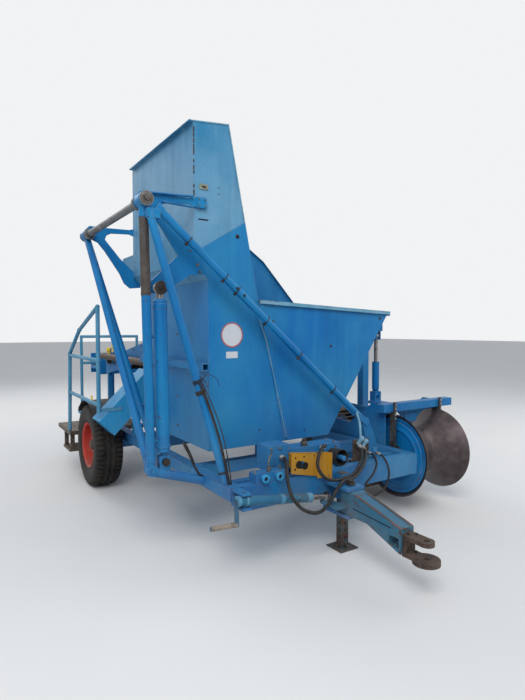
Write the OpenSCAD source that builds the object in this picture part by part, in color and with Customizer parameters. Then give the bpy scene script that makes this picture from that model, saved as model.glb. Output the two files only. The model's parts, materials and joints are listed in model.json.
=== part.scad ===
// Trailed single-row potato harvester with a side-tipping bunker, in millimetres.
// +X is the machine's left side, +Y its rear and +Z up. The ground is z = 0.
// Inside the modules y = 0 is the wheel axle and x = 0 the middle of the track;
// place() moves every node so that the origin is below the middle of the whole machine.

/* [Wheels] */
// Tyre diameter
tyre_d = 760; // [700:5:820]
// Tyre width
tyre_w = 250; // [200:5:270]
// Diameter of the rim's flange
rim_d = 420; // [380:5:460]
// Width of the rim over its flanges
rim_w = 220; // [180:5:235]
// Distance between the middles of the two tyres
track = 2680; // [2660:5:2760]
// Diameter of the stub axle in the hub
stub_d = 60; // [45:1:70]

/* [Frame] */
// Height of the underside of the longerons
longeron_z = 440; // [435:1:470]
// Side of the square longeron tube
longeron_s = 80; // [60:1:84]
// Gap between the right longeron and its tyre
right_tyre_gap = 35; // [20:1:60]
// Gap between the left longeron and its tyre
left_tyre_gap = 20; // [12:1:40]
// Front end of the right longeron
frame_front_y = -2190; // [-2230:5:-2150]
// How far the longerons run under the cross conveyor
rear_overhang = 30; // [20:1:60]
// Front end of the left longeron
left_longeron_y = -960; // [-1000:5:-920]
// Side of the square axle beam
axle_s = 100; // [80:1:110]

/* [Bunker] */
// Front face of the bunker
bunker_y = -1810; // [-1815:1:-1800]
// Length of the bunker along the machine
bunker_len = 1210; // [1150:5:1230]
// Thickness of the bunker's sheet
sheet_t = 5; // [4:0.5:8]
// Distance of the hopper's right wall inside the right longeron's outer face
hopper_in = 80; // [70:1:90]
// Width of the hopper's floor
floor_w = 1032; // [980:5:1060]
// Height of the hopper's underside
hopper_z = 640; // [630:1:700]
// Distance of the hopper's left rim from the middle of the row
rim_in = 180; // [170:1:220]
// Height of the hopper's left rim
rim_z = 1604; // [1590:1:1640]
// Height where the right wall steps out to the chute
step_z = 1780; // [1740:5:1800]
// How far the chute stands out past the hopper's right wall
chute_out = 97; // [80:1:110]
// Height of the chute's lower edge
chute_z = 1900; // [1880:5:1940]
// Height of the chute's top edge
chute_top_z = 2793; // [2740:1:2830]
// Width of the chute's cheek at its top
cheek_w = 258; // [220:1:280]

/* [Tipping gear] */
// Distance of the tipping axis outside the right longeron
pivot_out = 380; // [370:1:390]
// Height of the tipping axis
pivot_z = 2220; // [2200:1:2240]
// Diameter of the tipping shaft
shaft_d = 50; // [40:1:56]
// Diameter of the front tower's struts
strut_d = 50; // [40:1:54]
// Diameter of the front post
post_d = 56; // [48:1:60]
// Thickness of the tip brackets
bracket_t = 12; // [8:1:14]
// Outer diameter of the tipping cylinder's barrel
barrel_d = 80; // [60:1:84]
// Diameter of the tipping cylinder's rod
rod_d = 45; // [36:1:48]

/* [Digger] */
// Inner width between the digger's side plates
digger_w = 618; // [600:1:624]
// Gap between the digger's left plate and the left longeron
plate_gap = 45; // [36:1:50]
// Gap between the digger's right plate and the middle longeron
mid_gap = 20; // [12:1:30]
// Thickness of the digger's side plates
digger_t = 12; // [8:1:14]
// Diameter of the ridge roller's rims
roller_d = 670; // [620:5:690]
// Diameter of the ridge roller's waist
waist_d = 400; // [360:5:460]
// Distance from each side plate to the ridge roller's rim
roller_gap = 49; // [46:1:60]
// Place of the ridge roller's axle along the machine
roller_y = -1960; // [-1970:1:-1950]
// Height of the ridge roller's axle
roller_z = 435; // [425:1:450]
// Thickness of the ridge roller's tread
roller_t = 10; // [8:0.5:14]

/* [Webs] */
// Pitch of the web's rods
rod_pitch = 56; // [48:1:70]
// Diameter of the web's rods
web_rod_d = 12; // [10:0.5:14]
// Height of the web trough's side plates
trough_h = 300; // [260:5:320]
// Length of the picking table
table_len = 1880; // [1800:5:1900]
// Width of the picking belt
belt_w = 600; // [560:5:620]

/* [Platform] */
// Distance of the outer railing from the right longeron
rail_out = 320; // [315:1:330]
// Diameter of the railing's tubes
rail_d = 34; // [28:1:38]
// Height of the platform's deck
deck_z = 440; // [420:1:460]
// Length of the platform along the machine
deck_len = 570; // [450:5:900]

/* [Drawbar] */
// Middle of the drawbar across the machine
drawbar_x = -410; // [-420:1:-400]
// Drawbar hinge along the machine
hinge_y = -2440; // [-2450:1:-2430]
// Front tip of the hitch tongue
tip_y = -3110; // [-3150:1:-3080]
// Diameter of the hitch pin's hole
pin_hole_d = 34; // [28:1:40]
// Diameter of the gearbox's input shaft
pto_d = 35; // [32:0.5:45]
// Diameter of the drawbar's hinge pin
hinge_pin_d = 40; // [30:1:44]

/* [Hidden] */
$fn = 48;

// Colours, as near to the photographed paint as one flat colour comes
blue = [0.08, 0.44, 0.72];
pale = [0.34, 0.62, 0.78];
steel = [0.52, 0.53, 0.55];
rust = [0.40, 0.29, 0.26];
black = [0.09, 0.09, 0.10];
yellow = [0.86, 0.66, 0.12];
red = [0.78, 0.16, 0.13];

// Clearances between a shaft and its bore, and between a piece and its seat
run_gap = 0.05;
seat_gap = 0.3;

// Wheels
axle_z = tyre_d / 2;
hub_d = 150;
hub_l = 130;
rim_t = 8;
stub_in = 70;

// Frame, set out between the tyres: the digger hangs beside the left longeron
frame_top_z = longeron_z + longeron_s;
right_longeron_x = tyre_w / 2 - track / 2 + right_tyre_gap;
left_longeron_x = track / 2 - tyre_w / 2 - left_tyre_gap - longeron_s;
longeron_in_x = right_longeron_x + longeron_s;
left_outer_x = left_longeron_x + longeron_s;
digger_left_x = left_longeron_x - plate_gap;
digger_right_x = digger_left_x - digger_w - digger_t;
row_x = digger_left_x - digger_w / 2;
mid_longeron_x = digger_right_x - mid_gap - longeron_s;
roller_w = digger_w - 2 * roller_gap;
table_y = bunker_y + bunker_len + 60;
conveyor_y = table_y + table_len + 190;
frame_rear_y = conveyor_y + rear_overhang;

// Bunker outline in the plane across the machine, as [x, z]
bunker_rear_y = bunker_y + bunker_len;
hopper_x = right_longeron_x + hopper_in;
floor_x = hopper_x + floor_w;
rim_x = row_x - rim_in;
chute_x = hopper_x - chute_out;
cheek_top = [chute_x + cheek_w, chute_top_z + 28];
cheek_foot = [chute_x + 486, 1660];
lap_z = 2185;
lap_low_z = 1950;
rear_bend = [rim_x - 484, 2119];
left_slope = atan2(rim_z - hopper_z, rim_x - floor_x);

// Tipping gear
pivot_x = right_longeron_x - pivot_out;
tower_y = bunker_y - 70;
cylinder_y = bunker_y - 58;
strut_y = tower_y - 45;
front_plate_y = bunker_y - bracket_t;
rear_tower_y = bunker_rear_y + 60;
bearing_d = shaft_d + 36;
bearing_l = 80;
rear_foot_y = bunker_rear_y - 260;
post_foot = [pivot_x + 35, 587];
barrel_foot = [pivot_x + 120, 640];
rod_eye = [pivot_x + 102, 1707];
eye_d = 70;
eye_pin_d = 32;
barrel_len = 830;

// Gear case with the pump beside it and the input shaft in front
gear_y = frame_front_y + 60;
gear_l = 130;
gear_x = -230;
gear_z = 530;
gear_top_z = 664;
pump_x = -860;
pump_w = 160;
pump_y = gear_y - 35;
pto_x = -300;
pto_y = -2255;
pto_z = 580;
cone_l = 100;

// Yellow guard in front of the gear case
guard_x = -762;
guard_fold_x = -551;
guard_t = 5;

// Digger
pivot_y = -800;
pivot_low_z = 600;
digger_pin_d = 40;
beam_y = -1930;
beam_z = 789;
beam_s = 64;
lift_x = row_x - 111;
lift_y = -1600;
lift_top_z = 1440;
gantry_y = left_longeron_y;
lift_foot_z = 880;

// Main web: centres of its end rollers as [y, z]
web_low = [-560, 700];
web_high = [conveyor_y - 80, 1400];
web_r = 75;
trough_right_x = digger_right_x;
trough_t = 8;

// Picking table: right edge, end heights
table_x = right_longeron_x + 280;
table_front_z = 1330;
table_rear_z = 1010;
table_feet = [table_y + 110, table_y + table_len - 90];
inlet = [table_x + 40, table_x + 600, 1340, 1660];

// Cross conveyor behind the web and the table
conveyor_x = right_longeron_x + 250;
conveyor_end_x = left_longeron_x - 15;
conveyor_w = 410;
conveyor_z = 900;
conveyor_h = 250;
rail_top_z = 1370;

// Clod chute between the bunker and the right wheel
clod_y = -tyre_d / 2 - 90;
clod_w = 230;
clod_h = 180;
clod_high = [longeron_in_x + 90, clod_y, 1040];
clod_low = [right_longeron_x - 250, clod_y, 625];

// Platform
rail_x = right_longeron_x - rail_out;
deck_y = 430;
deck_in_x = right_longeron_x + 420;

// Drawbar
front_beam_z = 370;
front_beam_h = 150;
front_beam_y = frame_front_y - 70;
hinge_lug_t = 20;
beam_low_z = 290;
beam_h = 150;
tongue_pin_y = tip_y + 75;
drawbar_half = 55;
eye_h = 36;
spindle_y = -2345;
spindle_in = [drawbar_x - 120, 385];
spindle_out = [right_longeron_x - 16, 476];
spindle_pin_x = right_longeron_x + 40;
ear_t = 24;
// Room under the rod's eye, which sinks a little as the slanting rod runs in
eye_gap = 3.4;
ear_z = spindle_in[1] - eye_h / 2 - eye_gap - ear_t;
spindle_pin_z = spindle_out[1] + (spindle_in[1] - spindle_out[1]) * (spindle_pin_x - spindle_out[0]) / (spindle_in[0] - spindle_out[0]);
jack_x = -355;
jack_y = -2300;
strut_foot = [mid_longeron_x - 195, 781];
post_line_y = tower_y - 55;

// Whole machine, for the place of the origin
low_x = pivot_x - bearing_d / 2;
high_x = track / 2 + tyre_w / 2;
low_y = tip_y;
high_y = conveyor_y + conveyor_w;
mid_x = (low_x + high_x) / 2;
mid_y = (low_y + high_y) / 2;

module place() { translate([-mid_x, -mid_y, 0]) children(); }

// Round bar between two points
module bar(a, b, d) {
  v = b - a;
  translate(a)
    rotate([0, acos(v[2] / norm(v)), atan2(v[1], v[0])])
      cylinder(d = d, h = norm(v));
}

// Rectangular bar between two points: w across, h in the upright plane
module flat(a, b, w, h) {
  v = b - a;
  translate(a)
    rotate([0, acos(v[2] / norm(v)), atan2(v[1], v[0])])
      translate([-h / 2, -w / 2, 0])
        cube([h, w, norm(v)]);
}

// Box from its lowest to its highest corner
module block(low, high) { translate(low) cube(high - low); }

// Plate across the machine: outline as [x, z], from y0 to y0 + t
module plate_y(points, y0, t) {
  translate([0, y0 + t, 0]) rotate([90, 0, 0]) linear_extrude(t) polygon(points);
}

// Plate along the machine: outline as [y, z], from x0 to x0 + t
module plate_x(points, x0, t) {
  translate([x0, 0, 0]) rotate([90, 0, 90]) linear_extrude(t) polygon(points);
}

// Cylinders along the machine's own directions
module pin_x(x0, y, z, l, d) { translate([x0, y, z]) rotate([0, 90, 0]) cylinder(d = d, h = l); }
module pin_y(x, y0, z, l, d) { translate([x, y0 + l, z]) rotate([90, 0, 0]) cylinder(d = d, h = l); }

// Wheels. The side is -1 on the right and 1 on the left.
module tyre(side) {
  bead = rim_d / 2 - 12;
  crown = tyre_d / 2;
  half = tyre_w / 2;
  wall = 16;
  bead_half = rim_w / 2 - rim_t - 14.5;
  // Half of the section, as [radius, distance from the middle]
  outer = [
    [bead, bead_half], [bead + 30, half - 12], [bead + 85, half], [crown - 35, half - 6], [crown - 8, half - 22], [crown, half - 45]
  ];
  profile = concat(outer, [for (i = [5:-1:0]) [outer[i][0], -outer[i][1]]]);
  color(black)
    translate([side * track / 2, 0, axle_z]) rotate([0, 90, 0])
      rotate_extrude($fn = 72) difference() {
        polygon(profile);
        polygon([
          [bead - 1, bead_half - 12], [bead + 60, half - wall - 8], [crown - wall - 14, half - wall - 8],
          [crown - wall - 6, half * 0.5], [crown - wall - 6, -half * 0.5], [crown - wall - 14, -half + wall + 8],
          [bead + 60, -half + wall + 8], [bead - 1, -bead_half + 12]
        ]);
      }
}

module rim(side) {
  bead = rim_d / 2 - 12;
  half = rim_w / 2;
  color(red)
    translate([side * track / 2, 0, axle_z]) rotate([0, side * 90, 0]) difference() {
      union() {
        rotate_extrude($fn = 72) polygon([
          [bead - rim_t, -half + 12], [bead - rim_t, half - 12], [rim_d / 2, half],
          [rim_d / 2, half - rim_t], [bead - 0.3, half - rim_t - 14], [bead - 0.3, -half + rim_t + 14],
          [rim_d / 2, -half + rim_t], [rim_d / 2, -half]
        ]);
        translate([0, 0, -12]) cylinder(r = bead - rim_t / 2, h = 10, $fn = 72);
        translate([0, 0, -stub_in]) cylinder(d = hub_d, h = hub_l);
      }
      translate([0, 0, -stub_in - 1]) cylinder(d = stub_d + 2 * run_gap, h = hub_l - 19);
    }
}

module axle_beam() color(blue) {
  hub_in_x = track / 2 - stub_in;
  block([-hub_in_x + 20, -axle_s / 2, axle_z - axle_s / 2], [hub_in_x - 20, axle_s / 2, axle_z + axle_s / 2]);
  pin_x(-hub_in_x - hub_l + 25, 0, axle_z, 2 * (hub_in_x + hub_l - 25), stub_d);
  for (x = [right_longeron_x, mid_longeron_x, left_longeron_x])
    block([x, -axle_s / 2, axle_z + axle_s / 2 - 1], [x + longeron_s, axle_s / 2, longeron_z]);
}

// Frame: longerons as [right face, front end], cross-beams as [front face, from x, to x]
module main_frame() color(blue) {
  for (l = [[right_longeron_x, frame_front_y], [mid_longeron_x, frame_front_y], [left_longeron_x, left_longeron_y]])
    block([l[0], l[1], longeron_z], [l[0] + longeron_s, frame_rear_y, frame_top_z]);
  for (y = table_feet) block([longeron_in_x - 1, y, frame_top_z - 60], [mid_longeron_x + 1, y + 50, frame_top_z]);
  for (c = [[-1700, longeron_in_x, mid_longeron_x], [-700, longeron_in_x, mid_longeron_x],
            [frame_rear_y - longeron_s, longeron_in_x, left_longeron_x]])
    block([c[1] - 1, c[0], longeron_z], [c[2] + 1, c[0] + longeron_s, frame_top_z]);
  // Pivot brackets of the digger, as [right face, start of the pin, length of the pin]
  for (k = [[digger_right_x - 44, digger_right_x - 44, 44 + digger_t], [left_longeron_x, digger_left_x, left_longeron_x + 24 - digger_left_x]]) {
    block([k[0], pivot_y - 40, frame_top_z - 1], [k[0] + 24, pivot_y + 40, pivot_low_z + 35]);
    pin_x(k[1], pivot_y, pivot_low_z, k[2], digger_pin_d);
  }
  block([longeron_in_x, front_beam_y, front_beam_z], [mid_longeron_x + longeron_s, frame_front_y, front_beam_z + front_beam_h]);
  block([right_longeron_x, frame_front_y - 60, longeron_z], [longeron_in_x, frame_front_y, frame_top_z]);
  // Fork of the adjusting spindle
  for (z = [spindle_pin_z - 49, spindle_pin_z + 37])
    difference() {
      block([spindle_pin_x - 30, spindle_y - 30, z], [spindle_pin_x + 30, frame_front_y - 60, z + 12]);
      translate([spindle_pin_x, spindle_y, z - 1]) cylinder(d = 20 + 2 * run_gap, h = 14);
    }
  block([spindle_pin_x - 30, frame_front_y - 70, spindle_pin_z - 49], [spindle_pin_x + 30, frame_front_y - 50, spindle_pin_z + 49]);
  // Bracket at the foot of the long strut, and the foot of the rear tower
  plate_y([
    [mid_longeron_x + 5, longeron_z], [mid_longeron_x + 5, frame_top_z], [strut_foot[0] + 90, strut_foot[1] - 20],
    [strut_foot[0] + 30, strut_foot[1] - 60], [mid_longeron_x - 90, longeron_z + 20]
  ], strut_y - 10, 20);
  flat([strut_foot[0], strut_y, strut_foot[1]], strut_end + 110 * strut_dir, 40, 44);
  block([right_longeron_x + 5, rear_foot_y - 40, frame_top_z - 1], [longeron_in_x - 5, rear_foot_y + 50, frame_top_z + 20]);
  // Rests under the bunker's floor
  for (y = [-1700, -700])
    block([hopper_x + 480, y, frame_top_z - 1], [hopper_x + 560, y + longeron_s, hopper_z - seat_gap]);
  // Bracket at the end of the far hose
  block([far_end[0] - 20, far_end[1] + 10, frame_top_z - 1], [far_end[0] + 20, far_end[1] + 22, far_end[2] + 35]);
  block([far_end[0] - 20, frame_front_y - 20, frame_top_z - 1], [far_end[0] + 20, far_end[1] + 22, frame_top_z + 8]);
  pin_y(far_end[0], far_end[1], far_end[2], 12, 30);
  // Hinge lugs of the drawbar
  for (z = [beam_low_z - hinge_lug_t - 1, beam_low_z + beam_h + 1])
    difference() {
      union() {
        block([drawbar_x - 70, hinge_y - 50, z], [drawbar_x + 70, jack_y - 45, z + hinge_lug_t]);
        block([drawbar_x - 70, jack_y - 46, z], [jack_x - 45, front_beam_y + 12, z + hinge_lug_t]);
      }
      translate([drawbar_x, hinge_y, z - 1]) cylinder(d = hinge_pin_d + 2 * run_gap, h = hinge_lug_t + 2);
    }
  block([drawbar_x - 70, front_beam_y, beam_low_z - hinge_lug_t - 1], [jack_x - 45, front_beam_y + 12, front_beam_z + 10]);
}

// Front tower: foot tube, post, bearing and the lugs of the tipping cylinder
module bearing(y0) {
  difference() {
    pin_y(pivot_x, y0, pivot_z, bearing_l, bearing_d);
    pin_y(pivot_x, y0 - 1, pivot_z, bearing_l + 2, shaft_d + 2 * run_gap);
  }
}

module front_post() {
  color(blue) {
    difference() {
      bar([right_longeron_x + 20, tower_y, longeron_z + 34], [post_foot[0], tower_y, post_foot[1]], 60);
      block([right_longeron_x, tower_y - 60, longeron_z - 40], [longeron_in_x, tower_y + 60, frame_top_z + 40]);
    }
    bar([post_foot[0], tower_y, post_foot[1] - 20], [pivot_x, tower_y, pivot_z - shaft_d / 2 - 12], post_d);
    difference() {
      block([barrel_foot[0] - 35, cylinder_y - 32, barrel_foot[1] - 90], [barrel_foot[0] + 35, cylinder_y + 32, barrel_foot[1] + 35]);
      block([barrel_foot[0] - 36, cylinder_y - 18.3, barrel_foot[1] - 40], [barrel_foot[0] + 36, cylinder_y + 18.3, barrel_foot[1] + 36]);
      pin_y(barrel_foot[0], cylinder_y - 40, barrel_foot[1], 80, eye_pin_d + 2 * run_gap);
    }
  }
  color(steel) bearing(tower_y - bearing_l / 2);
  // Lugs that hold the heads of the two front struts and the foot of the rear one
  color(blue) {
    flat(strut_head - 45 * strut_dir, strut_head, 44, 44);
    flat(front_head - 50 * front_dir, front_head, 40, 44);
    block([pivot_x, front_head[1] - 15, pivot_z - 110], [pivot_x + 80, tower_y - 5, pivot_z - 55]);
    flat(brace_foot, brace_foot + 80 * brace_way, 40, 40);
  }
}

// Struts of the towers, each along its own line
strut_head = [pivot_x + 97, strut_y, pivot_z - 68];
strut_end = [strut_foot[0], strut_y, strut_foot[1]];
strut_dir = (strut_end - strut_head) / norm(strut_end - strut_head);
front_head = [pivot_x + 30, post_line_y, pivot_z - 120];
front_foot = [right_longeron_x + 34, frame_front_y + 40, frame_top_z - 20];
front_dir = (front_foot - front_head) / norm(front_foot - front_head);
brace_foot = [post_foot[0] - 5, tower_y + 75, post_foot[1] + 80];
brace_top = [pivot_x, rear_tower_y, pivot_z - 20];
brace_way = (brace_foot - brace_top) / norm(brace_foot - brace_top);
brace_head = brace_top + 110 * brace_way;

module front_strut() color(blue) difference() {
  bar(front_head + seat_gap * front_dir, front_foot, strut_d);
  block([right_longeron_x - 50, frame_front_y - 50, longeron_z], [longeron_in_x + 50, frame_front_y + 150, frame_top_z]);
}

module long_strut() color(blue) bar(strut_head + seat_gap * strut_dir, strut_end - seat_gap * strut_dir, strut_d);

module cross_brace() color(blue) bar(brace_head + seat_gap * brace_way, brace_foot - seat_gap * brace_way, strut_d);

module rear_tower() {
  color(blue) {
    difference() {
      union() {
        bar([pivot_x, rear_tower_y, pivot_z - 20], [right_longeron_x + 38, rear_foot_y, frame_top_z], strut_d);
        flat(brace_head - 90 * brace_way, brace_head, 40, 40);
      }
      pin_y(pivot_x, rear_tower_y - 60, pivot_z, 120, shaft_d + 2 * run_gap);
      block([right_longeron_x - 50, rear_foot_y - 100, longeron_z], [longeron_in_x + 50, rear_foot_y + 100, frame_top_z + 20]);
    }
  }
  color(steel) bearing(rear_tower_y - bearing_l / 2);
}

// Bunker, hollow and open at the top
module hopper_shell() color(blue) {
  slope_in = sheet_t * tan(left_slope / 2);
  plate_y([
    [hopper_x, hopper_z], [floor_x, hopper_z], [rim_x, rim_z], cheek_foot,
    [cheek_foot[0] - 103, lap_z], [chute_x, lap_low_z], [chute_x, chute_z], [hopper_x, step_z]
  ], bunker_y, sheet_t);
  difference() {
    plate_y([
      [hopper_x, hopper_z], [floor_x, hopper_z], [rim_x, rim_z], rear_bend, cheek_top,
      [chute_x, chute_top_z], [chute_x, chute_z], [hopper_x, step_z]
    ], bunker_rear_y - sheet_t, sheet_t);
    block([inlet[0], bunker_rear_y - 20, inlet[2]], [inlet[1], bunker_rear_y + 20, inlet[3]]);
  }
  plate_y([
    [hopper_x, step_z], [hopper_x, hopper_z], [floor_x, hopper_z], [rim_x, rim_z],
    [rim_x - sheet_t / sin(left_slope), rim_z], [floor_x - slope_in, hopper_z + sheet_t],
    [hopper_x + sheet_t, hopper_z + sheet_t], [hopper_x + sheet_t, step_z]
  ], bunker_y, bunker_len);
  // Rim along the left wall and the rib that runs down the front wall
  block([rim_x - 6, bunker_y, rim_z - 35], [rim_x + 20, bunker_rear_y, rim_z]);
  rib_x = cheek_foot[0] + 224;
  plate_y([cheek_foot, cheek_foot + [36, 0], [rib_x + 36, hopper_z + 20], [rib_x, hopper_z + 20]], bunker_y - 8, 8);
}

module discharge_chute() color(pale) {
  y0 = bunker_y + sheet_t;
  y1 = bunker_rear_y - sheet_t;
  plate_y([
    [hopper_x, step_z], [hopper_x + sheet_t, step_z], cheek_foot, cheek_top, [chute_x, chute_top_z], [chute_x, chute_z]
  ], y0, sheet_t);
  block([chute_x, y0, chute_z], [chute_x + sheet_t, y1, chute_top_z]);
  plate_y([
    [hopper_x, step_z], [chute_x, chute_z], [chute_x + sheet_t, chute_z + 2], [hopper_x + sheet_t, step_z + 1]
  ], y0, y1 - y0);
  block([chute_x - 30, y0, chute_top_z - 6], [chute_x + sheet_t, y1, chute_top_z]);
  // Pad under the arm of the front tip bracket
  block([chute_x + 15, bunker_y, pivot_z + 16], [chute_x + 83, y0 + 1, pivot_z + 84]);
}

// Tip bracket: a plate with a hub on the shaft, an upper arm to the chute and a leg to the hopper's corner
module tip_bracket(y0, lobe) {
  hub = [
    [14, -36], [-14, -36], [-30, -24], [-38, 0], [-30, 34], [4, 68], [80, 70], [128, 66]
  ];
  arm = [
    [-34, 70], [15, 84], [83, 84], [83, 16], [15, 16], [-34, 33]
  ];
  crotch = [[180, 25], [140, 5], [128, -30], [250, -175]];
  difference() {
    plate_y(concat(
      [for (p = hub) [pivot_x + p[0], pivot_z + p[1]]],
      [for (p = arm) [chute_x + p[0], pivot_z + p[1]]],
      [for (p = crotch) [pivot_x + p[0], pivot_z + p[1]]],
      [[chute_x - 30, step_z + 190], [chute_x + 60, step_z + 110], [chute_x + 60, step_z + 30]],
      lobe,
      [[chute_x - 118, step_z + 140], [pivot_x + 125, pivot_z - 125], [pivot_x + 70, pivot_z - 60]]
    ), y0, bracket_t);
    pin_y(pivot_x, y0 - 1, pivot_z, bracket_t + 2, shaft_d);
  }
}

module tip_bracket_front() color(blue)
  tip_bracket(front_plate_y, [
    [chute_x - 40, step_z + 20], [rod_eye[0] + 45, rod_eye[1] - 30], [rod_eye[0] - 40, rod_eye[1] - 30],
    [rod_eye[0] - 40, rod_eye[1] + 40]
  ]);

module tip_bracket_rear() color(blue)
  tip_bracket(bunker_rear_y, [[chute_x - 30, step_z + 20], [chute_x - 80, step_z + 60]]);

module pivot_shaft() color(steel) {
  y0 = tower_y - bearing_l / 2 - 12;
  y1 = rear_tower_y + bearing_l / 2 + 12;
  pin_y(pivot_x, y0, pivot_z, y1 - y0, shaft_d);
  for (collar = [[y0 - 12, 12], [y1, 12], [bunker_y, 30], [bunker_rear_y - 30, 30]])
    pin_y(pivot_x, collar[0], pivot_z, collar[1], bearing_d);
}

module side_rail() color(pale) {
  difference() {
    block([hopper_x - 50, bunker_y - 12, 1180], [hopper_x, bunker_rear_y, 1230]);
    block([hopper_x - 44, bunker_y - 13, 1186], [hopper_x - 6, bunker_y + 60, 1224]);
  }
}

// Tipping cylinder along its own line from the foot to the rod's eye
tip_line = [rod_eye[0] - barrel_foot[0], 0, rod_eye[1] - barrel_foot[1]];
tip_dir = tip_line / norm(tip_line);
tip_foot = [barrel_foot[0], cylinder_y, barrel_foot[1]];
tip_eye = [rod_eye[0], cylinder_y, rod_eye[1]];

module tip_barrel() color(blue) {
  difference() {
    union() {
      bar(tip_foot + 60 * tip_dir, tip_foot + barrel_len * tip_dir, barrel_d);
      pin_y(tip_foot[0], cylinder_y - 18, tip_foot[2], 36, 66);
      bar(tip_foot + 25 * tip_dir, tip_foot + 70 * tip_dir, 34);
      pin_y(tip_foot[0], cylinder_y - 44, tip_foot[2], 88, eye_pin_d);
    }
    bar(tip_foot + 100 * tip_dir, tip_foot + (barrel_len + 1) * tip_dir, rod_d + 2 * run_gap);
  }
}

module tip_rod() color(steel) {
  bar(tip_foot + 110 * tip_dir, tip_eye - 20 * tip_dir, rod_d);
  pin_y(tip_eye[0], cylinder_y - 20, tip_eye[2], 40, eye_d);
  pin_y(tip_eye[0], cylinder_y - 24, tip_eye[2], front_plate_y - seat_gap - cylinder_y + 24, eye_pin_d);
}

// Digger unit: side plates, beam, shares, web and roller arms
module digger_frame() color(blue) {
  hole_at = [-1831, 440];
  hole_h = 160;
  hole_w = 90;
  outline = [
    [beam_y + 14, beam_z + 55], [beam_y + 160, beam_z + 55], [-1500, 640], [pivot_y - 60, pivot_low_z + 75],
    [pivot_y + 60, pivot_low_z + 75], [pivot_y + 60, pivot_low_z - 70], [-1350, 150], [-1620, 150], [-1700, 205], [beam_y + 14, 245]
  ];
  for (x = [digger_right_x, digger_left_x])
    difference() {
      plate_x(outline, x, digger_t);
      pin_x(x - 1, pivot_y, pivot_low_z, digger_t + 2, digger_pin_d + 2 * run_gap);
      // Tall hole
      plate_x([for (a = [5:10:355]) hole_at + [hole_w * cos(a), hole_h * sin(a)] / 2], x - 1, digger_t + 2);
    }
  block([digger_right_x - 70, beam_y - 40, beam_z], [digger_left_x + 140, beam_y + 40, beam_z + beam_s]);
  // Bent stay from the beam's left end down the outside of the left plate, as [place along, height]
  stay = [[-1895, beam_z + 10], [-1870, 739], [-1800, 655], [-1714, 590]];
  plate_x(concat([for (p = stay) p], [for (i = [3:-1:0]) stay[i] + [22, 14]]), digger_left_x + digger_t - 1, 15);
  plate_y([
    [row_x - 190, beam_z + 1], [row_x + 190, beam_z + 1], [row_x + 70, beam_z - 90], [row_x - 70, beam_z - 90]
  ], beam_y + 28, 8);
  plate_y([
    [row_x - 90, beam_z - 40], [row_x + 90, beam_z - 40], [row_x + 55, beam_z - 112], [row_x - 55, beam_z - 112]
  ], beam_y + 20, 8);
  block([lift_x - 45, beam_y + 40, beam_z + 10], [lift_x + 45, lift_y + 45, beam_z + 34]);
  difference() {
    block([lift_x - 36, lift_y - 32, beam_z + 34], [lift_x + 36, lift_y + 32, lift_foot_z + 28]);
    block([lift_x - 18.3, lift_y - 33, lift_foot_z - 35], [lift_x + 18.3, lift_y + 33, lift_foot_z + 40]);
    pin_x(lift_x - 40, lift_y, lift_foot_z, 80, 26 + 2 * run_gap);
  }
}

module shares() color(rust) {
  x0 = digger_right_x + digger_t;
  for (i = [0:1])
    translate([x0 + 4 + i * (digger_w / 2 - 2), 0, 0])
      plate_x([[-1700, 108], [-1690, 104], [-1400, 182], [-1400, 196], [-1690, 118]], 0, digger_w / 2 - 6);
  pin_x(x0, -1420, 196, digger_w, 30);
}

// Outline of a belt round two rollers of radius r
module stadium(run, r) {
  for (y = [0, run]) translate([y, 0]) circle(r = r);
  translate([0, -r]) square([run, 2 * r]);
}

// Gap between a web and the plates beside it
side_gap = 5;

// Rod web: two belts, round rods between them, running round two rollers in the plane along the machine
module rod_web(low, high, r, x0, w) {
  d = high - low;
  run = norm(d);
  a = atan2(d[1], d[0]);
  count = floor(run / rod_pitch);
  translate([x0, low[0], low[1]]) rotate([a, 0, 0]) {
    color(black) for (x = [0, w - 40])
      translate([x, 0, 0]) rotate([90, 0, 90]) linear_extrude(40) difference() {
        stadium(run, r);
        stadium(run, r - 10);
      }
    color(steel) for (i = [0:count], s = [-1, 1])
      translate([0, i * rod_pitch, s * (r - 5)]) rotate([0, 90, 0]) cylinder(d = web_rod_d, h = w, $fn = 12);
    color(steel) for (y = [0, run]) {
      translate([0, y, 0]) rotate([0, 90, 0]) cylinder(r = r - 10, h = w);
      translate([-side_gap + seat_gap, y, 0]) rotate([0, 90, 0]) cylinder(d = 40, h = w + 2 * side_gap - 2 * seat_gap);
    }
  }
}

module digger_web() {
  rod_web([-1330, 290], [pivot_y, pivot_low_z], 60, digger_right_x + digger_t + side_gap, digger_w - 2 * side_gap);
}

module main_web() {
  rod_web(web_low, web_high, web_r, trough_right_x + trough_t + side_gap, digger_w + 2 * digger_t - 2 * trough_t - 2 * side_gap);
}

// One side of the web's trough on two legs, each as [place along the machine, height]
module trough_side(plate_x0, leg_x, low_x, high_x) color(blue) {
  outline = [
    web_low + [-90, -100], web_low + [-90, trough_h - 100], web_high + [90, trough_h - 120], web_high + [90, -110]
  ];
  plate_x(outline, plate_x0, trough_t);
  for (leg = [[web_low[0] + 180, 760], [web_high[0] - 50, 1330]]) {
    block([leg_x + 10, leg[0], frame_top_z], [leg_x + longeron_s - 10, leg[0] + 60, leg[1]]);
    block([low_x, leg[0], leg[1] - 60], [high_x, leg[0] + 60, leg[1]]);
  }
}

module trough_right() trough_side(trough_right_x, mid_longeron_x, mid_longeron_x + 10, trough_right_x + 1);
module trough_left() {
  inner = digger_left_x + digger_t - trough_t;
  trough_side(inner, left_longeron_x, inner + trough_t - 1, left_longeron_x + 20);
}

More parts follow.
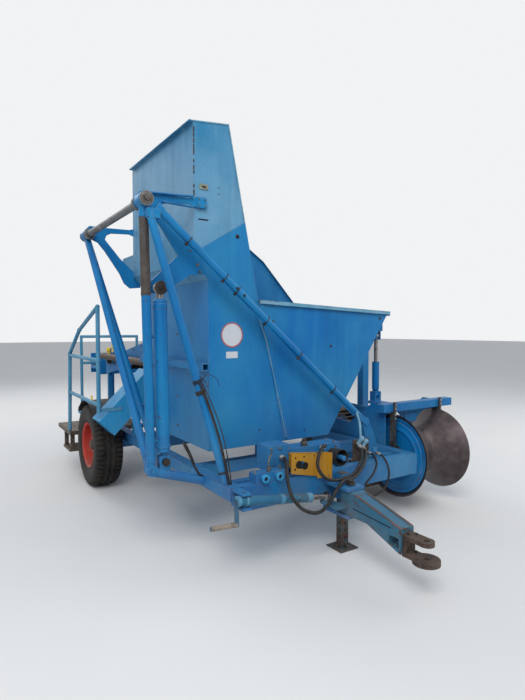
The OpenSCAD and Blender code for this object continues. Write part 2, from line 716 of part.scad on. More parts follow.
// Arms that carry the roller, with its axle
module roller_arms() {
  x_right = row_x - roller_w / 2 - 26;
  color(steel) {
    for (x = [x_right, row_x + roller_w / 2 + 8]) {
      block([x, roller_y - 30, roller_z - 35], [x + 18, roller_y + 25, beam_z]);
      block([x, beam_y - 60, beam_z - 90], [x + 18, beam_y - 40, beam_z + beam_s + 16]);
    }
    pin_x(x_right, roller_y, roller_z, roller_w + 52, 40);
  }
}

// Point i of the 16 along the roller's saddle, t below its tread
function saddle(i, t) = [
  waist_d / 2 + (roller_d - waist_d) / 2 * pow(abs(i / 8 - 1), 1.6) - t, (i / 16 - 0.5) * roller_w
];

module ridge_roller() {
  half = roller_w / 2;
  translate([row_x, roller_y, roller_z]) rotate([0, 90, 0]) {
    color(rust) rotate_extrude($fn = 72) {
      polygon(concat([for (i = [0:16]) saddle(i, 0)], [for (i = [16:-1:0]) saddle(i, roller_t)]));
    }
    color(blue) difference() {
      union() {
        for (s = [-1, 1]) {
          translate([0, 0, s * (half - 24) - 4]) cylinder(r = roller_d / 2 - roller_t - 14, h = 8);
          translate([0, 0, s * (half - 28) - 12]) cylinder(d = 150, h = 24);
        }
        translate([0, 0, -half + 30]) cylinder(d = 76, h = roller_w - 60);
      }
      translate([0, 0, -half - 1]) cylinder(d = 40 + 2 * run_gap, h = roller_w + 2);
    }
  }
}

// Digger lift cylinder and the gantry that carries its rod
module lift_barrel() color(blue) {
  difference() {
    union() {
      translate([lift_x, lift_y, lift_foot_z + 50]) cylinder(d = 62, h = 240);
      translate([lift_x - 18, lift_y, lift_foot_z]) rotate([0, 90, 0]) cylinder(d = 52, h = 36);
      block([lift_x - 18, lift_y - 20, lift_foot_z], [lift_x + 18, lift_y + 20, lift_foot_z + 60]);
      pin_x(lift_x - 38, lift_y, lift_foot_z, 76, 26);
    }
    translate([lift_x, lift_y, lift_foot_z + 75]) cylinder(d = 32 + 2 * run_gap, h = 216);
  }
}

module lift_rod() color(steel) {
  translate([lift_x, lift_y, lift_foot_z + 150]) cylinder(d = 32, h = lift_top_z - 48 - lift_foot_z - 150);
  pin_x(lift_x - 16, lift_y, lift_top_z - 40, 32, 50);
}

module lift_gantry() color(blue) {
  block([left_longeron_x, gantry_y, frame_top_z], [left_outer_x, gantry_y + 80, lift_top_z + 80]);
  block([lift_x - 40, gantry_y, lift_top_z], [left_longeron_x + 1, gantry_y + 80, lift_top_z + 80]);
  block([lift_x - 40, lift_y - 40, lift_top_z], [lift_x + 40, gantry_y + 1, lift_top_z + 80]);
  for (x = [lift_x - 16 - seat_gap - 12, lift_x + 16 + seat_gap])
    block([x, lift_y - 30, lift_top_z - 75], [x + 12, lift_y + 30, lift_top_z + 1]);
}

// Gear case and its pump behind the drawbar, on brackets over a bar of the frame
module gearbox() color(blue) {
  block([pump_x, pump_y, gear_z + 18], [pump_x + pump_w, gear_y + 100, gear_top_z + 48]);
  block([pump_x + pump_w - 1, gear_y, gear_z], [gear_x, gear_y + gear_l, gear_top_z]);
  for (x = [pump_x + 100, pump_x + 300, gear_x - 60])
    block([x, gear_y + 10, frame_top_z - 50], [x + 30, gear_y + gear_l, gear_z + 19]);
  block([longeron_in_x, gear_y + 40, longeron_z + 20], [mid_longeron_x, gear_y + 90, longeron_z + 60]);
  pin_y(pto_x, pto_y, pto_z, gear_y + 5 - pto_y, pto_d);
}

// Open rubber cone round the input shaft
module shaft_cone() color(black)
  translate([pto_x, gear_y, pto_z]) rotate([90, 0, 0])
    rotate_extrude() polygon([[44, 0], [48, 0], [56, cone_l], [52, cone_l]]);

// Guard: a front plate with a hole, a wing that curves forward and a flange back to the gear case
module drive_guard() color(yellow) {
  y = front_beam_y - 12;
  difference() {
    plate_y([
      [guard_x, 549], [guard_x + 3, 681], [guard_fold_x, 657], [guard_fold_x, 503]
    ], y - guard_t, guard_t);
    pin_y(guard_x + 86, y - 10, 594, 20, 50);
  }
  bend = [[0, 0], [24, -8], [44, -30], [60, -76]];
  translate([guard_fold_x, y, 490]) linear_extrude(172) polygon(concat(
    [for (p = bend) p - [0, guard_t]], [for (i = [3:-1:0]) bend[i] + [guard_t, 0] * (i > 1 ? 1 : 0)]
  ));
  block([guard_x + 66, y - 1, 560], [guard_x + 72, gear_y, 650]);
}

module valve_block() color(blue) {
  block([-1010, front_beam_y, front_beam_z + front_beam_h], [-790, frame_front_y + 10, front_beam_z + front_beam_h + 60]);
  for (x = [-960, -856]) pin_y(x, front_beam_y - 30, front_beam_z + front_beam_h + 34, 60, 46);
}

// Sorting parts behind the bunker
module cross_conveyor() {
  top = conveyor_z + conveyor_h;
  color(blue) {
    for (y = [conveyor_y, conveyor_y + conveyor_w - 8]) block([conveyor_x, y, conveyor_z], [conveyor_end_x, y + 8, top]);
    for (x = [conveyor_x + 110, mid_longeron_x - 40]) block([x, frame_rear_y - longeron_s, frame_top_z], [x + 60, conveyor_y + 1, conveyor_z + 60]);
  }
  color(black) block([conveyor_x, conveyor_y + 7, conveyor_z + 60], [conveyor_end_x, conveyor_y + conveyor_w - 7, conveyor_z + 100]);
}

// Height of the lower edge of the picking table's side at y
function table_low(y) = table_front_z - 90 + (table_rear_z - table_front_z) * (y - table_y) / table_len;

// One side of the picking table on two legs
module table_side(x0, leg_x) color(blue) {
  outline = [
    [table_y, table_front_z - 90], [table_y, table_front_z + 90],
    [table_y + table_len, table_rear_z + 90], [table_y + table_len, table_rear_z - 90]
  ];
  plate_x(outline, x0, 6);
  for (y = table_feet) block([leg_x, y, frame_top_z], [leg_x + 44, y + 50, table_low(y) + 20]);
}

module table_right() table_side(table_x, table_x + 5);
module table_left() table_side(table_x + belt_w + 30, table_x + belt_w - 13);

module picking_belt() color(black) {
  d = [table_len - 140, table_rear_z - table_front_z + 10];
  translate([table_x + 12, table_y + 60, table_front_z]) rotate([atan2(d[1], d[0]), 0, 0])
    rotate([90, 0, 90]) linear_extrude(belt_w + 10) stadium(norm(d), 45);
  for (end = [[0, 0], d])
    pin_x(table_x + 6 + seat_gap, table_y + 60 + end[0], table_front_z + end[1], belt_w + 24 - 2 * seat_gap, 40);
}

module leaning_bar() color(rust) {
  bar([table_x - 50, table_y + 20, 1140], [table_x - 50, table_y + table_len, 1140], 70);
  for (arm = [[table_y + 240, 1140, 1260], [table_y + table_len - 240, 1060, 1140]])
    block([table_x - 50, arm[0], arm[1]], [table_x, arm[0] + 30, arm[2]]);
}

module clod_chute() color(pale) {
  way = (clod_low - clod_high) / norm(clod_low - clod_high);
  difference() {
    union() {
      flat(clod_high, clod_low, clod_w, clod_h);
      block([right_longeron_x + 10, clod_y - 30, frame_top_z], [longeron_in_x - 10, clod_y + 30, 830]);
    }
    flat(clod_high - 80 * way, clod_low + 80 * way, clod_w - 12, clod_h - 12);
  }
}

// Platform, railings, step and fender
module platform_deck() color(steel) {
  block([rail_x - 15, deck_y, deck_z - 40], [deck_in_x, deck_y + deck_len, deck_z]);
}

module side_railing() color(pale) {
  for (r = [
    [-600, 770, -600, 1640], [-600, 1640, 40, 1450], [40, 1450, 450, 1220], [-595, 1200, 452, 1200],
    [-595, 830, 476, 830], [450, 1220, 500, 470], [500, 470, 500, deck_z]
  ])
    bar([rail_x, r[0], r[1]], [rail_x, r[2], r[3]], rail_d);
  for (k = [[-600, 1640], [40, 1450], [450, 1220], [500, 470]]) translate([rail_x, k[0], k[1]]) sphere(d = rail_d + 4);
  block([rail_x, clod_y - clod_w / 2 - 7, 770], [clod_low[0] + 130, clod_y - clod_w / 2, 800]);
}

module rear_railing() color(pale) {
  y = conveyor_y + 4;
  x0 = right_longeron_x + 40;
  x1 = conveyor_x + 480;
  bar([x0, y, frame_top_z], [x0, y, rail_top_z], rail_d);
  bar([x0, y, rail_top_z], [x1, y, rail_top_z], rail_d);
  bar([x1, y, conveyor_z + conveyor_h], [x1, y, rail_top_z], rail_d);
  bar([x0, y, 1050], [conveyor_x, y, 1050], rail_d);
  for (x = [x0, x1]) translate([x, y, rail_top_z]) sphere(d = rail_d + 4);
}

module step() color(steel) {
  block([rail_x - 15, deck_y + 20, 230], [rail_x + 180, deck_y + 320, 254]);
  for (y = [deck_y + 24, deck_y + 296]) block([rail_x - 5, y, 254], [rail_x + 35, y + 20, deck_z - 40]);
}

module fender() color(black) {
  x0 = -track / 2 - tyre_w / 2;
  r = tyre_d / 2 + 36;
  intersection() {
    difference() {
      pin_x(x0, 0, axle_z, right_longeron_x - 5 - x0, 2 * r);
      pin_x(x0 - 1, 0, axle_z, right_longeron_x - 3 - x0, 2 * r - 12);
    }
    block([x0, -r * 0.72, axle_z + r * 0.6], [right_longeron_x, r * 0.72, axle_z + r + 1]);
  }
  block([right_longeron_x - 10, -60, longeron_z + 10], [right_longeron_x, 60, axle_z + r - 4]);
}

// Drawbar, tongue, jack and adjusting spindle
module drawbar_beam() color(blue) {
  difference() {
    union() {
      plate_x([
        [hinge_y + 35, beam_low_z], [hinge_y + 35, beam_low_z + beam_h], [hinge_y - 60, beam_low_z + beam_h],
        [-2900, 340], [-2900, 200], [hinge_y - 200, beam_low_z]
      ], drawbar_x - drawbar_half, 2 * drawbar_half);
      block([spindle_in[0] - 30, hinge_y - 40, ear_z], [drawbar_x, hinge_y + 20, ear_z + ear_t]);
      block([spindle_in[0] - 30, hinge_y + 19, ear_z], [spindle_in[0] + 30, spindle_y + 30, ear_z + ear_t]);
    }
    translate([drawbar_x, hinge_y, beam_low_z - 1]) cylinder(d = hinge_pin_d, h = beam_h + 2);
    // Open space between the flanges at the front end
    block([drawbar_x - drawbar_half - 1, -2890, 232], [drawbar_x + drawbar_half + 1, -2815, 285]);
  }
  translate([drawbar_x, hinge_y, beam_low_z - hinge_lug_t - 12]) cylinder(d = hinge_pin_d, h = beam_h + 2 * hinge_lug_t + 24);
}

module hitch_tongue() color(rust) {
  // Each tongue as [underside, radius of its eye]: the upper one is the shorter and narrower
  for (k = [[190, tongue_pin_y - tip_y], [290, 43]])
    difference() {
      union() {
        block([drawbar_x - 40, tongue_pin_y, k[0]], [drawbar_x + 40, -2901, k[0] + 26]);
        translate([drawbar_x, tongue_pin_y, k[0]]) cylinder(r = k[1], h = 26);
      }
      translate([drawbar_x, tongue_pin_y, k[0] - 1]) cylinder(d = pin_hole_d, h = 28);
    }
  block([drawbar_x - 40, -2925, 190], [drawbar_x + 40, -2900, 316]);
}

module jack_sleeve() color(blue) {
  difference() {
    block([jack_x - 35, front_beam_y - 75, 330], [jack_x + 35, front_beam_y, 500]);
    block([jack_x - 28, jack_y - 28, 329], [jack_x + 28, jack_y + 28, 501]);
  }
}

module jack_leg() color(rust) {
  block([jack_x - 27.7, jack_y - 27.7, 8], [jack_x + 27.7, jack_y + 27.7, 506]);
  block([jack_x - 75, jack_y - 75, 0], [jack_x + 75, jack_y + 75, 8]);
}

spindle_dir = [spindle_in[0] - spindle_out[0], 0, spindle_in[1] - spindle_out[1]];
spindle_unit = spindle_dir / norm(spindle_dir);
spindle_a = [spindle_out[0], spindle_y, spindle_out[1]];
spindle_b = [spindle_in[0], spindle_y, spindle_in[1]];

module spindle_tube() color(steel) {
  difference() {
    bar(spindle_a, spindle_b - 130 * spindle_unit, 56);
    bar(spindle_b - 330 * spindle_unit, spindle_b - 120 * spindle_unit, 34 + 2 * run_gap);
  }
  translate([spindle_pin_x, spindle_y, spindle_pin_z - 55]) cylinder(d = 20, h = 110);
  crank = [spindle_out[0] + 6, spindle_y, 338];
  flat([spindle_out[0], spindle_y, spindle_out[1] - 6], crank - [0, 0, 8], 20, 20);
  bar(crank, crank + [-168, 0, 12], 24);
}

module spindle_rod() color(steel) {
  bar(spindle_b - 310 * spindle_unit, spindle_b - 15 * spindle_unit, 34);
  translate([spindle_b[0], spindle_b[1], spindle_b[2] - eye_h / 2]) cylinder(d = 50, h = eye_h);
}

// Hoses: a tube swept along hand-chosen points, each ring square to the run
hose_sides = 8;
long_points = [
  [-760, -2165, 632], [-772, -2225, 632], [-808, -2295, 610], [-846, -2358, 547], [-848, -2405, 462], [-800, -2435, 388],
  [-720, -2450, 348], [-655, -2452, 350], [-600, -2452, 385], [-550, -2448, 436], [-500, -2436, 476], [-448, -2412, 488],
  [-390, -2398, 487], [-325, -2380, 487], [-250, -2345, 498], [-163, -2300, 530], [-75, -2225, 583], [-40, -2154, 605]
];
short_points = [
  [-400, -2130, 640], [-412, -2180, 660], [-455, -2240, 686], [-530, -2300, 694], [-590, -2340, 660], [-620, -2365, 610],
  [-614, -2382, 565], [-572, -2392, 520], [-490, -2388, 494], [-390, -2368, 490], [-300, -2340, 492], [-215, -2300, 512],
  [-140, -2250, 552], [-92, -2202, 602], [-80, -2154, 630]
];
far_points = [
  [15, -2154, 560], [12, -2215, 552], [-20, -2280, 515], [-80, -2308, 455], [-150, -2314, 405], [-186, -2316, 360],
  [-178, -2316, 322], [-130, -2316, 302], [-50, -2316, 306], [20, -2316, 336], [58, -2314, 385], [72, -2310, 440],
  [72, -2292, 500], [68, -2250, 545], [62, -2194, 560]
];
function last(p) = p[len(p) - 1];
far_end = last(far_points);
function hose_dir(p, i) = let (a = p[max(0, i - 1)], b = p[min(len(p) - 1, i + 1)]) (b - a) / norm(b - a);
function side_a(d) = let (s = cross(d, [0, 0, 1])) norm(s) < 0.05 ? [1, 0, 0] : s / norm(s);
function ring(p, i, r) = let (d = hose_dir(p, i), a = side_a(d), b = cross(a, d))
  [for (k = [0:hose_sides - 1]) p[i] + r * (a * cos(360 * k / hose_sides) + b * sin(360 * k / hose_sides))];

// Smooth run through the points, with n steps between neighbours
function spline(p, n) = concat([for (i = [0:len(p) - 2], k = [0:n - 1]) let (
    t = k / n, a = p[max(0, i - 1)], b = p[i], c = p[i + 1], d = p[min(len(p) - 1, i + 2)])
  0.5 * (2 * b + (c - a) * t + (2 * a - 5 * b + 4 * c - d) * t * t + (3 * b - a - 3 * c + d) * t * t * t)], [p[len(p) - 1]]);

module hose(points, d) {
  p = spline(points, 3);
  n = len(p);
  s = hose_sides;
  color(black) polyhedron(
    points = [for (i = [0:n - 1]) each ring(p, i, d / 2)],
    faces = concat(
      [[for (k = [0:s - 1]) k]],
      [for (i = [0:n - 2], k = [0:s - 1]) [i * s + k, (i + 1) * s + k, (i + 1) * s + (k + 1) % s, i * s + (k + 1) % s]],
      [[for (k = [s - 1:-1:0]) (n - 1) * s + k]]
    ));
}

module hose_bracket() color(steel) {
  block([-110, gear_y - 10, longeron_z + 60], [40, gear_y + 2, 660]);
  block([-110, gear_y + 1, longeron_z + 60], [40, gear_y + 50, longeron_z + 68]);
  for (p = [last(long_points), last(short_points), far_points[0]]) pin_y(p[0], p[1], p[2], 20, 30);
}

place() main_frame();
place() axle_beam();
place() front_post();
place() front_strut();
place() long_strut();
place() rear_tower();
place() cross_brace();
place() gearbox();
place() shaft_cone();
place() drive_guard();
place() valve_block();
place() lift_gantry();
place() trough_right();
place() trough_left();
place() main_web();
place() cross_conveyor();
place() table_right();
place() table_left();
place() picking_belt();
place() leaning_bar();
place() clod_chute();
place() platform_deck();
place() side_railing();
place() rear_railing();
place() step();
place() fender();
place() hose(long_points, 22);  // hose_long
place() hose(short_points, 22);  // hose_short
place() hose(far_points, 14);  // hose_far
place() hose_bracket();
place() drawbar_beam();
place() hitch_tongue();
place() jack_sleeve();
place() jack_leg();
place() spindle_tube();
place() spindle_rod();
place() hopper_shell();
place() discharge_chute();
place() tip_bracket_front();
place() tip_bracket_rear();
place() pivot_shaft();
place() side_rail();
place() tip_barrel();
place() tip_rod();
place() digger_frame();
place() shares();
place() digger_web();
place() roller_arms();
place() ridge_roller();
place() lift_barrel();
place() lift_rod();
place() tyre(-1);  // tyre_right
place() rim(-1);  // rim_right
place() tyre(1);  // tyre_left
place() rim(1);  // rim_left
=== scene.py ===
import json
import math
import random

import bmesh
import bpy
from mathutils import Matrix, Vector


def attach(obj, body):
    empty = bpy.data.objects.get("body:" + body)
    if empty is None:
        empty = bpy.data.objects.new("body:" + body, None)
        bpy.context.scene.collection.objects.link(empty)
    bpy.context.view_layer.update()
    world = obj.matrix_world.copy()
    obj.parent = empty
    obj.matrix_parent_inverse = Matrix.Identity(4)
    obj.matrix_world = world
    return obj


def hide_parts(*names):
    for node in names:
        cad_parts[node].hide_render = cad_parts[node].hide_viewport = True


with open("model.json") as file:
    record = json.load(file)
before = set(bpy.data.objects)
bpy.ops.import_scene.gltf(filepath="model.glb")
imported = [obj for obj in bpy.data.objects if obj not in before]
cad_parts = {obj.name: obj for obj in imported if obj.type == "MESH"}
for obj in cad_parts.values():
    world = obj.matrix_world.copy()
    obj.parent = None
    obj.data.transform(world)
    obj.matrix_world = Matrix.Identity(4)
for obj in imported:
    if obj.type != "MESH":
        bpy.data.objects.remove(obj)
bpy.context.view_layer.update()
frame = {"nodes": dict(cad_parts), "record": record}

NODES = frame["nodes"]
# The machine's own origin in the row frame: on the ground below the axle, at mid track
ORIGIN = Vector((0.069, 0.585, 0.0))
RIGHT, LEFT, FORWARD, REARWARD, UP = (
    Vector(way) for way in ((-1, 0, 0), (1, 0, 0), (0, -1, 0), (0, 1, 0), (0, 0, 1)))
rng = random.Random(41)


def row(p):
    """A point given in the machine's own millimetres, in the row frame."""
    return Vector(p) / 1000 + ORIGIN


def show(obj):
    bpy.context.scene.collection.objects.link(obj)


# Camera at the photograph's place, its focal length in pixels of the 525 x 700 frame
FOCAL_PX, FRAME_PX, SENSOR_MM = 505, 700, 36.0
YAW, PITCH = math.radians(32.7), math.radians(2.27)
cam_data = bpy.data.cameras.new("camera")
cam = bpy.data.objects.new("camera", cam_data)
show(cam)
cam_data.sensor_fit = "VERTICAL"
cam_data.sensor_height = SENSOR_MM
cam_data.lens = FOCAL_PX / FRAME_PX * SENSOR_MM
cam_data.clip_end = 200
cam.location = row((-2600, -4810, 1450))
look = Vector((math.sin(YAW) * math.cos(PITCH), math.cos(YAW) * math.cos(PITCH), -math.sin(PITCH)))
cam.rotation_euler = look.to_track_quat("-Z", "Y").to_euler()
bpy.context.scene.camera = cam


# Mesh building, in the machine's millimetres
class Form:
    """Collects simple solids into one mesh."""

    def __init__(self):
        self.bm = bmesh.new()

    def box(self, low, high):
        for v in bmesh.ops.create_cube(self.bm, size=1)["verts"]:
            v.co = Vector(low[i] + (high[i] - low[i]) * (v.co[i] + 0.5) for i in range(3))
        return self

    def rod(self, a, b, r, sides=16, r2=None):
        """A bar from a to b, of radius r or tapering from r to r2."""
        a, b = Vector(a), Vector(b)
        way = b - a
        turn = way.to_track_quat("Z", "Y").to_matrix().to_4x4()
        made = bmesh.ops.create_cone(
            self.bm, cap_ends=True, cap_tris=False, segments=sides, radius1=r,
            radius2=r if r2 is None else r2, depth=way.length)["verts"]
        bmesh.ops.transform(self.bm, matrix=Matrix.Translation((a + b) / 2) @ turn, verts=made)
        return self

    def stub(self, start, way, near, far, r, sides=16, r2=None):
        """A bar on the line from start along way, between the distances near and far."""
        return self.rod(start + way * near, start + way * far, r, sides, r2)

    def pin(self, centre, near, far, r, sides=16):
        """A bar along y, from near to far of the centre."""
        return self.stub(Vector(centre), REARWARD, near, far, r, sides)

    def ball(self, c, r, stretch=1.0, axis="Z"):
        """A ball, stretched along the axis."""
        i = "XYZ".index(axis)
        made = bmesh.ops.create_uvsphere(self.bm, u_segments=16, v_segments=10, radius=r)
        for v in made["verts"]:
            v.co[i] *= stretch
            v.co += Vector(c)
        return self

    def plate(self, points, way, thick):
        """A flat outline of points, thickened along way."""
        face = self.bm.faces.new([self.bm.verts.new(p) for p in points])
        out = bmesh.ops.extrude_face_region(self.bm, geom=[face])
        moved = [g for g in out["geom"] if isinstance(g, bmesh.types.BMVert)]
        bmesh.ops.translate(self.bm, verts=moved, vec=way * thick)
        return self

    def panel(self, outline, y, thick):
        """A plate with an outline of (x, z) points at y, thickened along y."""
        return self.plate([(x, y, z) for x, z in outline], REARWARD, thick)

    def strip(self, a, b, y, thick, drop):
        """A panel that hangs by drop from the line a to b, as (x, z)."""
        return self.panel([a, b, (b[0], b[1] - drop), (a[0], a[1] - drop)], y, thick)

    def sweep(self, points, r, sides=10, closed=False):
        """A tube of radius r along the points."""
        points = [Vector(p) for p in points]
        n = len(points)
        rings = []
        side = None
        for i, p in enumerate(points):
            a = points[(i - 1) % n] if closed else points[max(0, i - 1)]
            b = points[(i + 1) % n] if closed else points[min(n - 1, i + 1)]
            way = (b - a).normalized()
            if side is None:
                side = way.orthogonal().normalized()
            side = (side - way * side.dot(way)).normalized()
            up = way.cross(side)
            rings.append([self.bm.verts.new(p + side * u + up * v) for u, v in circle(sides, r)])
        return self.join(rings, closed)

    def join(self, rings, closed=True):
        """Faces from each ring of vertices to the next, and from the last to the first or a cap."""
        m = len(rings[0])
        for a, b in zip(rings, rings[1:] + (rings[:1] if closed else [])):
            for k in range(m):
                self.bm.faces.new((a[k], b[k], b[(k + 1) % m], a[(k + 1) % m]))
        if not closed:
            self.bm.faces.new(rings[0])
            self.bm.faces.new(rings[-1][::-1])
        return self

    def spin(self, centre, axis, profile, steps=48):
        """A ring turned from a closed outline of (along the axis, radius)."""
        i = "XYZ".index(axis)
        u, v = [Vector([float(k == j) for k in range(3)]) for j in range(3) if j != i]
        along = Vector([float(k == i) for k in range(3)])
        centre = Vector(centre)
        rings = []
        for a, b in circle(steps, 1):
            out = u * a + v * b
            rings.append([self.bm.verts.new(centre + along * x + out * r) for x, r in profile])
        return self.join(rings)

    def disc(self, centre, axis, r, thick, steps=24):
        """A disc that stands out by thick towards the axis' low end."""
        return self.spin(centre, axis, [(0, 0.5), (0, r), (-thick, r), (-thick, 0.5)], steps)

    def bolt(self, c, way, r=9.0, h=7.0, washer=True):
        """Hexagon head with its threaded end, on a washer, standing out along way."""
        c = Vector(c)
        if washer:
            self.stub(c, way, -1, 2, r * 1.25, 16)
            c = c + way * 2
        self.stub(c, way, -1, h, r, 6)
        self.stub(c, way, h, h + 3, r * 0.45, 10)
        return self

    def make(self, name, body, slot, material=None, bevel=0.0, smooth=40):
        """The finished object, riding on a body. Its material is the slot's if none is named."""
        bmesh.ops.recalc_face_normals(self.bm, faces=self.bm.faces[:])
        for v in self.bm.verts:
            v.co = row(v.co)
        mesh = bpy.data.meshes.new(name)
        self.bm.to_mesh(mesh)
        self.bm.free()
        mesh.materials.append(MAT[material or slot])
        obj = bpy.data.objects.new(name, mesh)
        show(obj)
        if bevel:
            mod = obj.modifiers.new("edges", "BEVEL")
            mod.width = bevel / 1000
            mod.segments = 2
            mod.limit_method = "ANGLE"
            mod.angle_limit = math.radians(35)
        mesh.shade_smooth()
        mesh.set_sharp_from_angle(angle=math.radians(smooth))
        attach(obj, body)
        return obj


def spline(points, steps):
    """A smooth run through the points, as in the CAD source."""
    points = [Vector(p) for p in points]
    out = []
    for i in range(len(points) - 1):
        a, b = points[max(0, i - 1)], points[i]
        c, d = points[i + 1], points[min(len(points) - 1, i + 2)]
        for k in range(steps):
            t = k / steps
            out.append(0.5 * (2 * b + (c - a) * t + (2 * a - 5 * b + 4 * c - d) * t ** 2
                              + (3 * b - a - 3 * c + d) * t ** 3))
    return out + [points[-1]]


def circle(count, r, start=0):
    """Points spread round a circle, the first at the start angle in degrees."""
    angles = (math.radians(start + 360 * k / count) for k in range(count))
    return [(r * math.cos(t), r * math.sin(t)) for t in angles]


# Materials
class Nodes:
    """A new material, with short ways to add its shader nodes."""

    def __init__(self, name):
        self.material = bpy.data.materials.new(name)
        self.material.use_nodes = True
        self.tree = self.material.node_tree
        self.tree.nodes.clear()
        self.coord = self.add("TexCoord").outputs["Object"]

    def add(self, kind, **values):
        n = self.tree.nodes.new("ShaderNode" + kind)
        for k, v in values.items():
            setattr(n, k, v)
        return n

    def feed(self, socket, value):
        """A number, a colour or another node's output into a socket."""
        if isinstance(value, (int, float)):
            socket.default_value = value
        elif isinstance(value, tuple):
            socket.default_value = (*value, 1.0)
        else:
            self.tree.links.new(value, socket)

    def noise(self, scale, detail=4, rough=0.55, stretch=None):
        n = self.add("TexNoise")
        for name, value in (("Scale", scale), ("Detail", detail), ("Roughness", rough)):
            n.inputs[name].default_value = value
        place = self.coord
        if stretch:
            m = self.add("Mapping")
            m.inputs["Scale"].default_value = stretch
            self.feed(m.inputs["Vector"], place)
            place = m.outputs[0]
        self.feed(n.inputs["Vector"], place)
        return n.outputs[0]

    def ramp(self, value, low, high, a=0.0, b=1.0):
        """The range low to high mapped onto a to b, and clamped."""
        n = self.add("MapRange", clamp=True)
        self.feed(n.inputs["Value"], value)
        for name, v in (("From Min", low), ("From Max", high), ("To Min", a), ("To Max", b)):
            n.inputs[name].default_value = v
        return n.outputs[0]

    def math(self, kind, a, b):
        n = self.add("Math", operation=kind)
        self.feed(n.inputs[0], a)
        self.feed(n.inputs[1], b)
        return n.outputs[0]

    def times(self, a, b):
        return self.math("MULTIPLY", a, b)

    def most(self, a, b):
        return self.math("MAXIMUM", a, b)

    def mix(self, factor, a, b):
        """From colour a to colour b."""
        n = self.add("Mix", data_type="RGBA")
        for i, value in ((0, factor), (6, a), (7, b)):
            self.feed(n.inputs[i], value)
        return n.outputs[2]

    def edges(self):
        """1 on edges, 0 on flats: where paint wears and where the painted highlight goes."""
        bevel = self.add("Bevel", samples=4)
        bevel.inputs["Radius"].default_value = 0.006
        geo = self.add("NewGeometry")
        dot = self.add("VectorMath", operation="DOT_PRODUCT")
        self.feed(dot.inputs[0], bevel.outputs[0])
        self.feed(dot.inputs[1], geo.outputs["Normal"])
        return self.ramp(self.math("SUBTRACT", 1.0, dot.outputs["Value"]), 0.02, 0.2)

    def upright(self, vector):
        """The z part of a vector."""
        split = self.add("SeparateXYZ")
        self.feed(split.inputs[0], vector)
        return split.outputs["Z"]

    def height(self, low, high):
        """1 below low, 0 above high, in metres above the ground."""
        return self.ramp(self.upright(self.coord), low, high, 1.0, 0.0)

    def facing_up(self):
        """1 on surfaces that face up, 0 on walls."""
        geo = self.add("NewGeometry")
        return self.ramp(self.upright(geo.outputs["Normal"]), 0.5, 0.95)

    def finish(self, colour, rough, metal=0.0, bump=None, strength=0.2, depth=0.002, coat=0.0,
               rounding=0.0025, shine=0.4):
        """The surface shader: its bump also rounds edges off by the given radius."""
        b = self.add("BsdfPrincipled")
        for name, value in (("Base Color", colour), ("Roughness", rough), ("Metallic", metal)):
            self.feed(b.inputs[name], value)
        b.inputs["Coat Weight"].default_value = coat
        b.inputs["Coat Roughness"].default_value = 0.3
        b.inputs["Specular IOR Level"].default_value = shine
        if bump is not None:
            soft = self.add("Bevel", samples=4)
            soft.inputs["Radius"].default_value = rounding
            n = self.add("Bump")
            n.inputs["Strength"].default_value = strength
            n.inputs["Distance"].default_value = depth
            self.feed(n.inputs["Height"], bump)
            self.feed(n.inputs["Normal"], soft.outputs[0])
            self.feed(b.inputs["Normal"], n.outputs[0])
        out = self.add("OutputMaterial")
        self.feed(out.inputs["Surface"], b.outputs[0])
        return self.material


def lin(r, g, b):
    """sRGB 0-255 to linear."""
    return tuple(
        ((c / 255 + 0.055) / 1.055) ** 2.4 if c > 10 else c / 255 / 12.92 for c in (r, g, b))


RUST = lin(88, 54, 38)
DUST = lin(122, 112, 98)


